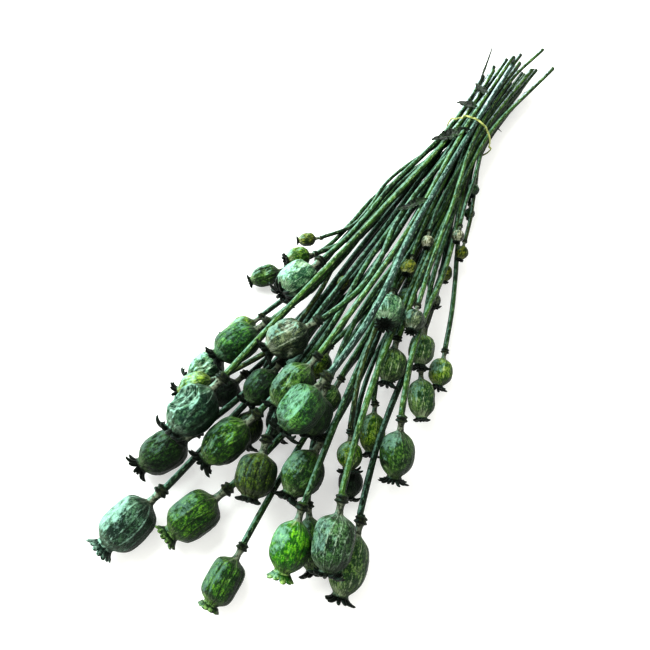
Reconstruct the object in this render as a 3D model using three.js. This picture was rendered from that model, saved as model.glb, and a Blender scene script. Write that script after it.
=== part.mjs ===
// A tied bunch of dried poppy seed heads, lying on a table.
// Every stalk is one piece as it grew: stem, swollen receptacle, narrow stipe, seed capsule and
// crown. A thin band ties the stems together, and a few withered leaves cling to the bunch.
// Millimetres, +Z up, -Y towards the seed heads. The bunch is drawn along the y axis and moved at the
// end, so that its origin is the middle of its footprint.
import * as THREE from "three";

// ---- Driving dimensions ----

const GAP = 0.7; // left between two neighbours, because nothing that touches may overlap
const STEM_THINNEST = 1.2; // a stem's radius, which grows with its head's width
const STEM_THICKEST = 2.7;
const STEM_AT_CUT = 0.86; // how much of that it has at its cut end
const STEM_STATIONS = 10; // rings along a stem, from the cut end to the receptacle
const BIG_HEAD = 20; // heads at least this wide get more sides
const SIDES_BIG = 8;
const SIDES_SMALL = 6;

const TIE_Y = -13; // where the bunch is tied
const BAND_HEIGHT = 2.6; // the tie, measured along the stems
const BAND_THICKNESS = 1.6;
const BAND_SIDES = 6;
const BAND_STEPS = 40;
const BUNDLE_HALF_WIDTH = 19.5; // how far the tie draws the stems together
const BUNDLE_HALF_HEIGHT = 19;
const BUNDLE_CENTRE = BUNDLE_HALF_HEIGHT + BAND_THICKNESS + 2 * GAP; // its height over the table

const CUT_END_NEAREST = 68; // how far behind the tie the stems were cut
const CUT_END_FURTHEST = 130;
const CUT_END_SPLAY = 1.5; // how much wider the bunch is at the furthest cut end than at the tie

// Two stems that stand out of the bunch behind the tie: the stalk's number, then where its cut end is.
const PROUD_ENDS = [
  [40, 15, 117, 41],
  [47, 34, 106, 34],
];

const LEAF_THICKNESS = 0.9;

// A head's own proportions. Across is a share of the capsule's width, along a share of its length,
// and the receptacle and stipe grow with the head's size, where 35 mm wide is 1.
const FULL_WIDTH = 35;
const RECEPTACLE_RADIUS = 5.6;
const RECEPTACLE_SHARE_MIN = 0.42; // small heads keep a stouter receptacle
const HEAD_PROFILE = [
  { along: 0.03, across: 0.21 },
  { along: 0.12, across: 0.385 },
  { along: 0.3, across: 0.485 },
  { along: 0.62, across: 0.49 },
  { along: 0.82, across: 0.39 },
  { along: 0.905, across: 0.25 },
  { along: 0.945, across: 0.32 },
  { along: 1.0, across: 0.31 },
];

// ---- The plan of the bunch ----

// Each head: x, y, z of the top of its capsule, where the stipe meets it; turn, its heading in plan,
// in degrees from -Y towards +X; nod, its rise over the horizontal; width and length of the capsule.
const NEAR_HEADS = [
  [-40, -470, 22, -12, -5, 35, 48],
  [1, -440, 20, -19, -5, 34, 45],
  [40, -467, 18, 4, -5, 28, 39],
  [70, -419, 40, 15, -15, 30, 41],
  [88, -402, 54, 21, -12, 31, 44],
  [98, -406, 20, 16, -8, 31, 49],
  [71, -409, 16, 38, -3, 27, 42],
  [58, -369, 24, 2, -5, 33, 41],
  [15, -393, 34, 18, -6, 32, 37],
  [-48, -415, 20, -26, -5, 33, 44],
  [-13, -378, 42, -18, -14, 32, 46],
  [-43, -376, 58, -9, -6, 36, 47],
];
const MIDDLE_HEADS = [
  [43, -337, 50, 13, -18, 25, 33],
  [67, -349, 46, 31, -24, 21, 24],
  [76, -360, 15, 29, -4, 20, 26],
  [90, -322, 42, 25, -28, 28, 40],
  [66, -312, 16, 26, -6, 22, 36],
  [-56, -365, 32, -40, -12, 23, 31],
  [-60, -345, 18, -22, -5, 27, 36],
  [-41, -314, 46, -23, -8, 32, 42],
  [-65, -297, 16, -21, -6, 23, 30],
  [-14, -295, 42, -26, -4, 30, 38],
  [-17, -333, 40, -6, -12, 27, 34],
  [9, -323, 58, -9, -14, 28, 43],
  [-5, -306, 30, -26, -14, 23, 29],
  [6, -289, 24, 2, -14, 20, 27],
  [24, -337, 72, -7, -12, 32, 41],
  [34, -317, 36, -4, -14, 23, 27],
  [-15, -354, 17, 25, -5, 25, 30],
  [-25, -358, 17, -13, -4, 27, 28],
  [-4, -361, 17, 21, -5, 24, 31],
];
const UPPER_HEADS = [
  [-33, -236, 50, -9, 6, 33, 39],
  [-76, -242, 16, -39, -8, 20, 30],
  [-55, -221, 32, -33, 18, 19, 25],
  [-65, -197, 24, -50, 0, 13, 18],
  [-16, -221, 26, 0, -8, 11, 15],
  [32, -236, 60, 19, 22, 26, 33],
  [27, -192, 58, 14, 8, 13, 16],
  [32, -203, 46, 29, -8, 16, 20],
  [58, -233, 62, 16, 12, 18, 22],
  [29, -157, 54, 21, 0, 11, 13],
  [45, -130, 38, 17, -2, 11, 13],
  [55, -130, 24, 15, -8, 12, 15],
  [50, -149, 20, 23, -8, 13, 18],
  [25, -64, 30, 17, -2, 12, 14],
  [32, -82, 22, 25, -4, 10, 12],
  [57, -262, 44, 18, -14, 25, 31],
  [47, -259, 20, 23, -6, 16, 23],
  [70, -237, 38, 25, -8, 22, 29],
  [92, -238, 15, 18, -5, 21, 27],
  [87, -265, 24, 31, -8, 23, 36],
  [54, -199, 32, 45, -4, 12, 14],
];

// Each leaf: x, y of its base, heading in plan, length, width.
const LEAVES = [
  [4, -27, -50, 38, 14],
  [-4, 3, -98, 24, 10],
  [11, -130, -42, 28, 9],
  [-4, 22, -128, 24, 10],
  [-20, 40, -167, 66, 3],
];

const rad = THREE.MathUtils.degToRad;
const lerp = THREE.MathUtils.lerp;

// A repeatable number from 0 to 1 for each whole number.
const chance = (n) => {
  const s = Math.sin(n * 12.9898 + 4.1414) * 43758.5453;
  return s - Math.floor(s);
};

// ---- One stalk's sizes ----

const readHead = ([x, y, z, turn, nod, width, length], index) => {
  const share = Math.max(width / FULL_WIDTH, RECEPTACLE_SHARE_MIN);
  const rise = rad(nod);
  const heading = rad(turn);
  return {
    index,
    width,
    length,
    share,
    neck: new THREE.Vector3(x, y, z),
    axis: new THREE.Vector3(
      Math.sin(heading) * Math.cos(rise),
      -Math.cos(heading) * Math.cos(rise),
      Math.sin(rise),
    ),
    stemRadius: lerp(STEM_THINNEST, STEM_THICKEST, Math.min(width / FULL_WIDTH, 1)),
    sides: width >= BIG_HEAD ? SIDES_BIG : SIDES_SMALL,
  };
};

// Stations from the receptacle to the crown: distance from the neck along the axis, and radius.
const headStations = (head) => {
  const r = RECEPTACLE_RADIUS * head.share;
  return [
    { at: -11.5 * head.share, radius: r },
    { at: -8 * head.share, radius: r * 0.86 },
    { at: -2 * head.share, radius: r * 0.48 },
    ...HEAD_PROFILE.map(({ along, across }) => ({
      at: along * head.length,
      radius: across * head.width,
    })),
  ];
};

// ---- Where each stem passes the tie ----

// Rows of places across the bundle, from the table up. The lowest heads take the lowest row, and each
// row is filled from left to right in the order in which the heads lie.
const TIE_ROWS = [5, 7, 8, 9, 8, 7, 5, 3];

const tiePlaces = (heads) => {
  const bearing = (head) => Math.atan2(head.neck.x, -head.neck.y);
  const byHeight = [...heads].sort((a, b) => a.neck.z - b.neck.z);
  let taken = 0;
  TIE_ROWS.forEach((count, row) => {
    const fill = byHeight.slice(taken, taken + count);
    taken += count;
    const up = ((row + 0.5) / TIE_ROWS.length) * 2 - 1;
    const halfChord = BUNDLE_HALF_WIDTH * Math.sqrt(1 - up * up);
    fill.sort((a, b) => bearing(a) - bearing(b));
    fill.forEach((head, i) => {
      const across = ((i + 0.5) / fill.length) * 2 - 1;
      head.tie = new THREE.Vector3(across * halfChord, TIE_Y, BUNDLE_CENTRE + up * BUNDLE_HALF_HEIGHT);
    });
  });
};

// ---- The path that each stalk is drawn on, before it settles ----

const drawPath = (head) => {
  const { tie, neck, axis, index } = head;
  const reach = lerp(CUT_END_NEAREST, CUT_END_FURTHEST, chance(index) ** 1.5);
  const splay = lerp(1.1, CUT_END_SPLAY, chance(index + 200));
  const cut = new THREE.Vector3(
    tie.x * splay + 6 * (chance(index + 300) - 0.5),
    TIE_Y + reach,
    BUNDLE_CENTRE + (tie.z - BUNDLE_CENTRE) * splay,
  );
  const stemEnd = neck.clone().addScaledVector(axis, -16 * head.share);
  const away = tie.distanceTo(stemEnd);
  const middle = tie.clone().lerp(stemEnd, 0.5);
  middle.x += (chance(index + 400) - 0.5) * 0.05 * away;
  const approach = stemEnd.clone().addScaledVector(axis, -0.2 * away);
  approach.lerp(tie.clone().lerp(stemEnd, 0.8), 0.5);
  const curve = new THREE.CatmullRomCurve3([cut, tie, middle, approach, stemEnd]);
  const stem = curve.getSpacedPoints(STEM_STATIONS - 1).map((point, i) => ({
    point,
    radius: head.stemRadius * lerp(STEM_AT_CUT, 1, i / (STEM_STATIONS - 1)),
  }));
  const capsule = headStations(head).map(({ at, radius }) => ({
    point: neck.clone().addScaledVector(axis, at),
    radius,
  }));
  return [...stem, ...capsule];
};

// ---- Settling: the stalks push each other apart and sink until they lie free of one another ----

const SETTLE = {
  sweeps: 500,
  lastSweeps: 900,
  thin: 0.15, // the girth that they start with, so that each slips past its neighbours on its own side
  grown: 350, // sweeps until they have their full girth
  look: 10, // sweeps between two searches for neighbours
  margin: 5, // how far beyond touching a neighbour still counts
  gravity: 0.08,
  home: 0.05, // how strongly a stalk returns to its place in the plan
  hold: 0.014, // how strongly it holds its height
  stiffness: 0.5,
};

// The nearest points of two straight pieces, as shares of their lengths.
const nearest = (a, b, c, d) => {
  const [ux, uy, uz] = [b.x - a.x, b.y - a.y, b.z - a.z];
  const [vx, vy, vz] = [d.x - c.x, d.y - c.y, d.z - c.z];
  const [wx, wy, wz] = [a.x - c.x, a.y - c.y, a.z - c.z];
  const uu = ux * ux + uy * uy + uz * uz;
  const vv = vx * vx + vy * vy + vz * vz;
  const uv = ux * vx + uy * vy + uz * vz;
  const uw = ux * wx + uy * wy + uz * wz;
  const vw = vx * wx + vy * wy + vz * wz;
  const clamp = (x) => Math.min(1, Math.max(0, x));
  const det = uu * vv - uv * uv;
  const s = det > 1e-9 * uu * vv ? clamp((uv * vw - vv * uw) / det) : 0.5;
  const t = clamp((uv * s + vw) / vv);
  return [clamp((uv * t - uw) / uu), t];
};

// Every two stretches, one of each stalk, that come within the margin of touching.
const neighbours = (paths) => {
  const found = [];
  const stretches = paths.map((path) => path.slice(1).map((b, i) => {
    const a = path[i];
    const half = a.point.distanceTo(b.point) / 2 + Math.max(a.radius, b.radius);
    return { a, b, half, middle: a.point.clone().lerp(b.point, 0.5) };
  }));
  for (let i = 0; i < paths.length; i += 1) {
    for (let j = i + 1; j < paths.length; j += 1) {
      for (const one of stretches[i]) {
        for (const other of stretches[j]) {
          const far = one.half + other.half + SETTLE.margin;
          if (Math.abs(one.middle.y - other.middle.y) > far) continue;
          if (one.middle.distanceToSquared(other.middle) > far * far) continue;
          found.push([one.a, one.b, other.a, other.b]);
        }
      }
    }
  }
  return found;
};

const apart = new THREE.Vector3();

// Pushes two stretches apart where they are too near, and returns how much too near they were. Girth
// is how much of its full thickness each stalk has by now.
const separate = ([a, b, c, d], girth) => {
  const [s, t] = nearest(a.point, b.point, c.point, d.point);
  let deepest = 0;
  for (const [p, q] of [[s, t], [0, t], [1, t], [s, 0], [s, 1]]) {
    apart.set(
      lerp(a.point.x, b.point.x, p) - lerp(c.point.x, d.point.x, q),
      lerp(a.point.y, b.point.y, p) - lerp(c.point.y, d.point.y, q),
      lerp(a.point.z, b.point.z, p) - lerp(c.point.z, d.point.z, q),
    );
    const wanted = girth * (lerp(a.radius, b.radius, p) + lerp(c.radius, d.radius, q) + GAP);
    const short = wanted - apart.length();
    if (short <= 0) continue;
    deepest = Math.max(deepest, short);
    apart.normalize().multiplyScalar(short * 0.25);
    a.push.addScaledVector(apart, 1 - p);
    b.push.addScaledVector(apart, p);
    c.push.addScaledVector(apart, q - 1);
    d.push.addScaledVector(apart, -q);
  }
  return deepest;
};

// The tie, and the stems' own pull beyond it, keep the bundle within an oval.
const drawTogether = ({ point, radius, push }) => {
  const { x, y, z } = point;
  const behind = (y - TIE_Y) / CUT_END_FURTHEST;
  if (behind < -0.4) return;
  const open = behind > 0 ? lerp(1, CUT_END_SPLAY, behind) : 1 + 4 * behind ** 2;
  const width = BUNDLE_HALF_WIDTH * open - radius;
  const height = BUNDLE_HALF_HEIGHT * open - radius;
  const out = Math.hypot(x / width, (z - BUNDLE_CENTRE) / height);
  if (out <= 1) return;
  push.x -= 0.5 * x * (1 - 1 / out);
  push.z -= 0.5 * (z - BUNDLE_CENTRE) * (1 - 1 / out);
};

// A stem gives way wherever it is pushed. A head moves as one, by the mean of the pushes it meets.
const giveWay = (path) => {
  const head = path.slice(STEM_STATIONS);
  const met = head.filter(({ push }) => push.lengthSq() > 0);
  const move = new THREE.Vector3();
  met.forEach(({ push }) => move.addScaledVector(push, 1 / met.length));
  head.forEach(({ shift }) => shift.add(move));
  path.slice(0, STEM_STATIONS).forEach(({ shift, push }) => shift.add(push));
  path.forEach(({ push }) => push.set(0, 0, 0));
};

// A stem bends gently rather than kinks.
const straighten = (path, stiffness) => {
  for (let i = 1; i < STEM_STATIONS; i += 1) {
    const beside = path[i - 1].shift.clone().add(path[i + 1].shift).multiplyScalar(0.5);
    path[i].shift.lerp(beside, stiffness);
  }
  path[0].shift.lerp(path[1].shift, stiffness * 0.5);
};

// Nothing sinks into the table, and the tie has room to pass under the stems.
const liftOffTable = (path) => {
  const under = (y) => (BAND_THICKNESS + 2 * GAP) * Math.exp(-(((y - TIE_Y) / 14) ** 2));
  const missing = ({ drawn, shift, radius }) => radius + under(drawn.y) - drawn.z - shift.z;
  const head = path.slice(STEM_STATIONS);
  const raise = Math.max(0, ...head.map(missing));
  head.forEach(({ shift }) => { shift.z += raise; });
  path.slice(0, STEM_STATIONS).forEach((station) => {
    station.shift.z += Math.max(0, missing(station));
  });
};

const settle = (paths) => {
  const stations = paths.flat();
  for (const station of stations) {
    station.drawn = station.point.clone();
    station.shift = new THREE.Vector3();
    station.push = new THREE.Vector3();
  }
  let near = [];
  for (let sweep = 0; sweep < SETTLE.sweeps + SETTLE.lastSweeps; sweep += 1) {
    if (sweep % SETTLE.look === 0) near = neighbours(paths);
    const toEnd = Math.max(0, (sweep - SETTLE.sweeps) / SETTLE.lastSweeps);
    const girth = Math.min(1, lerp(SETTLE.thin, 1, sweep / SETTLE.grown));
    const worst = near.reduce((most, pair) => Math.max(most, separate(pair, girth)), 0);
    if (toEnd > 0 && worst < 0.3 * GAP) return worst;
    if (toEnd < 0.7) stations.forEach(drawTogether);
    paths.forEach(giveWay);
    if (toEnd === 0) {
      for (const { shift } of stations) {
        shift.x *= 1 - SETTLE.home;
        shift.y *= 1 - SETTLE.home;
        shift.z = shift.z * (1 - SETTLE.hold) - SETTLE.gravity;
      }
    }
    for (const path of paths) {
      straighten(path, SETTLE.stiffness * (1 - toEnd));
      liftOffTable(path);
      path.forEach(({ point, drawn, shift }) => point.copy(drawn).add(shift));
    }
  }
  return Infinity;
};

// ---- Solids ----

// The turned shape of a whole stalk, bent so that each of its rings sits on its own station.
const stalkGeometry = (path, sides) => {
  const first = path[0];
  const end = path[path.length - 1];
  const rings = [{ ...first, radius: 0 }, ...path, { ...end, radius: 0, dome: 0.12 * end.radius }];
  const profile = rings.map(({ radius }, i) => new THREE.Vector2(radius, i));
  const geometry = new THREE.LatheGeometry(profile, sides);
  const position = geometry.attributes.position;
  const across = new THREE.Vector3();
  const up = new THREE.Vector3();
  for (let j = 0; j < rings.length; j += 1) {
    const before = rings[Math.max(0, j - 1)].point;
    const after = rings[Math.min(rings.length - 1, j + 1)].point;
    const along = after.clone().sub(before).normalize();
    across.crossVectors(along, new THREE.Vector3(0, 0, 1)).normalize();
    up.crossVectors(across, along);
    const centre = rings[j].point.clone().addScaledVector(along, rings[j].dome ?? 0);
    for (let i = 0; i <= sides; i += 1) {
      const angle = (2 * Math.PI * ((i % sides) + 0.25 * (sides % 4))) / sides;
      const vertex = centre.clone()
        .addScaledVector(across, -Math.cos(angle) * rings[j].radius)
        .addScaledVector(up, Math.sin(angle) * rings[j].radius);
      position.setXYZ(i * rings.length + j, vertex.x, vertex.y, vertex.z);
    }
  }
  return geometry;
};

// Where a stalk crosses the upright plane at y, and how thick it is there.
const crossing = (path, y) => {
  for (let i = 1; i < path.length; i += 1) {
    const [a, b] = [path[i - 1], path[i]];
    if ((a.point.y - y) * (b.point.y - y) > 0) continue;
    const share = (a.point.y - y) / (a.point.y - b.point.y);
    const slant = a.point.distanceTo(b.point) / Math.abs(a.point.y - b.point.y);
    return {
      x: lerp(a.point.x, b.point.x, share),
      z: lerp(a.point.z, b.point.z, share),
      radius: lerp(a.radius, b.radius, share) * slant,
    };
  }
  return null;
};

// A band drawn tight round the stems: at each angle its middle lies outside the stem that stands
// furthest out that way.
const tieGeometry = (paths) => {
  const geometry = new THREE.TorusGeometry(1, 0.1, BAND_SIDES, BAND_STEPS);
  const position = geometry.attributes.position;
  const reach = BAND_HEIGHT / 2;
  const stems = [-1, -0.5, 0, 0.5, 1]
    .flatMap((step) => paths.map((path) => crossing(path, TIE_Y + step * reach)))
    .filter(Boolean);
  for (let ring = 0; ring <= BAND_SIDES; ring += 1) {
    for (let step = 0; step <= BAND_STEPS; step += 1) {
      const angle = (2 * Math.PI * (step % BAND_STEPS)) / BAND_STEPS;
      const [ox, oz] = [Math.cos(angle), Math.sin(angle)];
      const furthest = stems.reduce((best, stem) => {
        const out = stem.x * ox + stem.z * oz + stem.radius;
        return out > best.out ? { out, stem } : best;
      }, { out: -Infinity });
      const { x, z, radius } = furthest.stem;
      const around = (2 * Math.PI * (ring % BAND_SIDES)) / BAND_SIDES;
      const out = radius + GAP + (BAND_THICKNESS / 2) * (1 + Math.cos(around));
      const y = TIE_Y - Math.sin(around) * reach;
      position.setXYZ(ring * (BAND_STEPS + 1) + step, x + out * ox, y, z + out * oz);
    }
  }
  return geometry;
};

// The height of the highest surface within a small distance of a point on the plan.
const topOf = (paths, x, y, margin) => {
  let top = 0;
  for (const path of paths) {
    for (let i = 1; i < path.length; i += 1) {
      const [a, b] = [path[i - 1], path[i]];
      const dx = b.point.x - a.point.x;
      const dy = b.point.y - a.point.y;
      const share = ((x - a.point.x) * dx + (y - a.point.y) * dy) / (dx * dx + dy * dy);
      const p = Math.min(1, Math.max(0, share));
      const off = Math.hypot(x - lerp(a.point.x, b.point.x, p), y - lerp(a.point.y, b.point.y, p));
      const radius = lerp(a.radius, b.radius, p);
      const inside = Math.max(0, off - margin);
      if (inside >= radius) continue;
      top = Math.max(top, lerp(a.point.z, b.point.z, p) + Math.sqrt(radius ** 2 - inside ** 2));
    }
  }
  return top;
};

// A withered leaf: a thin blade, widest before its middle, that lies across the stems' highest places,
// droops over them at its edges as far as it can, and curls up at its tip.
const leafGeometry = (paths, [x, y, heading, length, width]) => {
  const geometry = new THREE.BoxGeometry(1, 1, 1, 8, 4, 1);
  const position = geometry.attributes.position;
  const [hx, hy] = [Math.sin(rad(heading)), -Math.cos(rad(heading))];
  const vertices = Array.from({ length: position.count }, (_, i) => {
    const along = position.getX(i) + 0.5;
    const side = position.getY(i) * 2;
    const half = (width / 2) * (0.15 + 0.85 * Math.sin(Math.PI * (0.08 + 0.87 * along ** 0.8)));
    return {
      x: x + hx * along * length - hy * side * half,
      y: y + hy * along * length + hx * side * half,
      along,
      shape: 0.2 * length * along ** 3 - 0.16 * half * side ** 2,
      face: (position.getZ(i) + 0.5) * LEAF_THICKNESS,
    };
  });
  const clearance = (vertex) => topOf(paths, vertex.x, vertex.y, 2.4) + GAP - vertex.shape;
  const highest = (part) => Math.max(...vertices.filter(part).map(clearance));
  const base = highest(({ along }) => along < 0.6);
  const tip = highest(({ along }) => along >= 0.4);
  const slope = Math.max(-0.35, Math.min(0.35, (tip - base) / length));
  const rise = ({ along }) => slope * along * length;
  const floor = Math.max(...vertices.map((vertex) => clearance(vertex) - rise(vertex)));
  vertices.forEach((vertex, i) => {
    position.setXYZ(i, vertex.x, vertex.y, floor + rise(vertex) + vertex.shape + vertex.face);
  });
  return geometry;
};

// ---- The bunch ----

const STALK = { color: 0x2f6b2a, roughness: 0.5, metalness: 0 };
const BAND = { color: 0xb9b45c, roughness: 0.5, metalness: 0 };
const LEAF = { color: 0x16301c, roughness: 0.8, metalness: 0 };

const heads = [...NEAR_HEADS, ...MIDDLE_HEADS, ...UPPER_HEADS].map(readHead);
tiePlaces(heads);
const paths = heads.map(drawPath);
settle(paths);
PROUD_ENDS.forEach(([stalk, x, y, z]) => paths[stalk - 1][0].point.set(x, y, z));

const bunch = new THREE.Group();
const add = (name, geometry, look) => {
  const mesh = new THREE.Mesh(geometry, new THREE.MeshStandardMaterial(look));
  mesh.name = name;
  bunch.add(mesh);
};
const number = (i) => String(i + 1).padStart(2, "0");

paths.forEach((path, i) => add(`poppy_stalk_${number(i)}`, stalkGeometry(path, heads[i].sides), STALK));
add("tie_band", tieGeometry(paths), BAND);
LEAVES.forEach((leaf, i) => add(`dried_leaf_${number(i)}`, leafGeometry(paths, leaf), LEAF));

const box = new THREE.Box3().setFromObject(bunch);
const centre = box.getCenter(new THREE.Vector3());
bunch.position.set(-centre.x, -centre.y, -box.min.z);

export default bunch;
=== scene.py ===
"""A tied bunch of dried, green-dyed poppy seed heads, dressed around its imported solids.

Each stalk's centre line and thickness come from its own CAD node. The detailed stalk that replaces
the node has a ridged stem, a ringed receptacle, a pale stipe, a ribbed and dented capsule, and a crown
of narrow lobes. Metres throughout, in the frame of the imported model.
"""

import logging
import math
from dataclasses import dataclass, field
from enum import Enum

import bpy
import numpy as np
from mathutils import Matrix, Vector

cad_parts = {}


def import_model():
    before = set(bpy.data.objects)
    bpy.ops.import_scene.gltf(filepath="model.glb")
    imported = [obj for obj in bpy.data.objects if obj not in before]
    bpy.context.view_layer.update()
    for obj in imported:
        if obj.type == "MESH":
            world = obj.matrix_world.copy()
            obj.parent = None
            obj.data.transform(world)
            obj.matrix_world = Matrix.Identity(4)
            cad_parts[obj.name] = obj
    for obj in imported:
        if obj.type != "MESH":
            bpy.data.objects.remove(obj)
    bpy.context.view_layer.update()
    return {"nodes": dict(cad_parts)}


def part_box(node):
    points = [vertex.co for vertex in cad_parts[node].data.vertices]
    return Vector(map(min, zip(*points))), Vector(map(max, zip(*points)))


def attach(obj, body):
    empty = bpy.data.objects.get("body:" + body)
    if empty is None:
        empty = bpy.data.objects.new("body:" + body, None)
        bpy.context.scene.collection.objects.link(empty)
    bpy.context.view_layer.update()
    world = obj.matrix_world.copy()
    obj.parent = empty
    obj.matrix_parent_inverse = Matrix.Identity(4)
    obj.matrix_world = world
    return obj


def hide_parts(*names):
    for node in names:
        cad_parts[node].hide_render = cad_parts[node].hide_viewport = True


logging.basicConfig(level=logging.INFO, format="%(name)s: %(message)s")
log = logging.getLogger("poppy_bunch")

Colour = tuple[float, float, float]
Value = bpy.types.NodeSocket | float | tuple
Array = np.ndarray
MM = 0.001
UP = (0.0, 0.0, 1.0)
TABLE_EASE = 1.2 * MM
MERGE_DECIMALS = 5


# ---- Numbers over whole arrays ----


def smoothstep(low: float, high: float, x: Array) -> Array:
    """Returns 0 below low, 1 above high, and the cubic 3x^2 - 2x^3 between them."""
    t = np.clip((x - low) / (high - low), 0.0, 1.0)
    return t * t * (3.0 - 2.0 * t)


def lattice(cell: Array, seed: int) -> Array:
    """Gives every whole-numbered point of space a repeatable value.

    Args:
        cell: Whole numbers, shape (..., 3).
        seed: Picks another set of values.

    Returns:
        Values from 0 to 1, shape (...).
    """
    i = cell.astype(np.int64)
    h = i[..., 0] * 374761393 + i[..., 1] * 668265263 + i[..., 2] * 1440662683 + seed * 974634777
    h = (h ^ (h >> 13)) & 0xFFFFFFFF
    h = (h * 1274126177) & 0xFFFFFFFF
    h = h ^ (h >> 16)
    return (h & 0xFFFFFF) / float(0xFFFFFF)


def noise(points: Array, seed: int) -> Array:
    """Value noise: the eight lattice values round each point, blended by smooth weights.

    Args:
        points: Places, shape (..., 3), one lattice cell to a unit.
        seed: Picks another pattern.

    Returns:
        Values from 0 to 1, shape (...).
    """
    cell = np.floor(points)
    w = points - cell
    w = w * w * (3.0 - 2.0 * w)
    total = np.zeros(points.shape[:-1])
    for dx in (0, 1):
        for dy in (0, 1):
            for dz in (0, 1):
                step = np.array([dx, dy, dz])
                weight = np.prod(np.where(step == 1, w, 1.0 - w), axis=-1)
                total += weight * lattice(cell + step, seed)
    return total


def layered_noise(points: Array, seed: int, layers: int = 3) -> Array:
    """Sums noise at doubling frequency and halving strength, scaled back to 0 to 1.

    Args:
        points: Places, shape (..., 3), one lattice cell of the broadest noise to a unit.
        seed: Picks another pattern.
        layers: How many noises to sum.

    Returns:
        Values from 0 to 1, shape (...).
    """
    total = np.zeros(points.shape[:-1])
    strength = 1.0
    whole = 0.0
    for layer in range(layers):
        total += strength * noise(points * 2.0**layer, seed + layer)
        whole += strength
        strength *= 0.5
    return total / whole


def creases(points: Array, seed: int) -> Array:
    """Ridged noise: 1 on thin winding lines, where noise passes through one half, falling to 0 beside."""
    return 1.0 - np.minimum(1.0, np.abs(2.0 * layered_noise(points, seed, 2) - 1.0) * 3.0)


def pressed(height: Array) -> Array:
    """Bends what would sink into the table back over it: (z + sqrt(z^2 + ease^2)) / 2."""
    return (height + np.sqrt(height**2 + TABLE_EASE**2)) / 2


def unit(vectors: Array) -> Array:
    """Scales vectors, which lie along the last axis, to length 1."""
    return vectors / np.linalg.norm(vectors, axis=-1, keepdims=True)


def full_turn(count: int) -> Array:
    """Angles evenly spaced over one turn, without the last."""
    return np.linspace(0.0, 2 * np.pi, count, endpoint=False)


def spokes(angle: Array, side: Array, upper: Array) -> Array:
    """Directions at given angles: cos(angle) x side + sin(angle) x upper."""
    return np.cos(angle)[..., None] * side + np.sin(angle)[..., None] * upper


def run_along(path: Array) -> Array:
    """Distance along a path to each of its points, shape (m, 1)."""
    return np.concatenate([[0.0], np.cumsum(np.linalg.norm(np.diff(path, axis=0), axis=1))])[:, None]


def through(points: Array, count: int) -> Array:
    """Carries a smooth curve through given points.

    Between two points the curve is the Catmull-Rom cubic of them and their neighbours, and the result
    is spread evenly over the points' chord lengths.

    Args:
        points: The points, shape (m, k).
        count: How many samples to return.

    Returns:
        Samples, shape (count, k).
    """
    chord = run_along(points)[:, 0]
    at = np.linspace(0.0, chord[-1], count)
    i = np.clip(np.searchsorted(chord, at, side="right") - 1, 0, len(points) - 2)
    t = ((at - chord[i]) / (chord[i + 1] - chord[i]))[:, None]
    padded = np.vstack([2.0 * points[0] - points[1], points, 2.0 * points[-1] - points[-2]])
    a, b, c, d = padded[i], padded[i + 1], padded[i + 2], padded[i + 3]
    return 0.5 * (2.0 * b + (c - a) * t + (2 * a - 5 * b + 4 * c - d) * t**2 + (3 * b - a - 3 * c + d) * t**3)


def frames_along(path: Array) -> tuple[Array, Array, Array]:
    """Sets up axes along a path: its tangent, one level across it, and one leaning up.

    Args:
        path: Points, shape (m, 3).

    Returns:
        Tangents, side axes and upper axes, each of shape (m, 3).
    """
    tangent = unit(np.gradient(path, axis=0))
    side = unit(np.cross(tangent, UP))
    return tangent, side, np.cross(side, tangent)


# ---- Meshes ----


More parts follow.
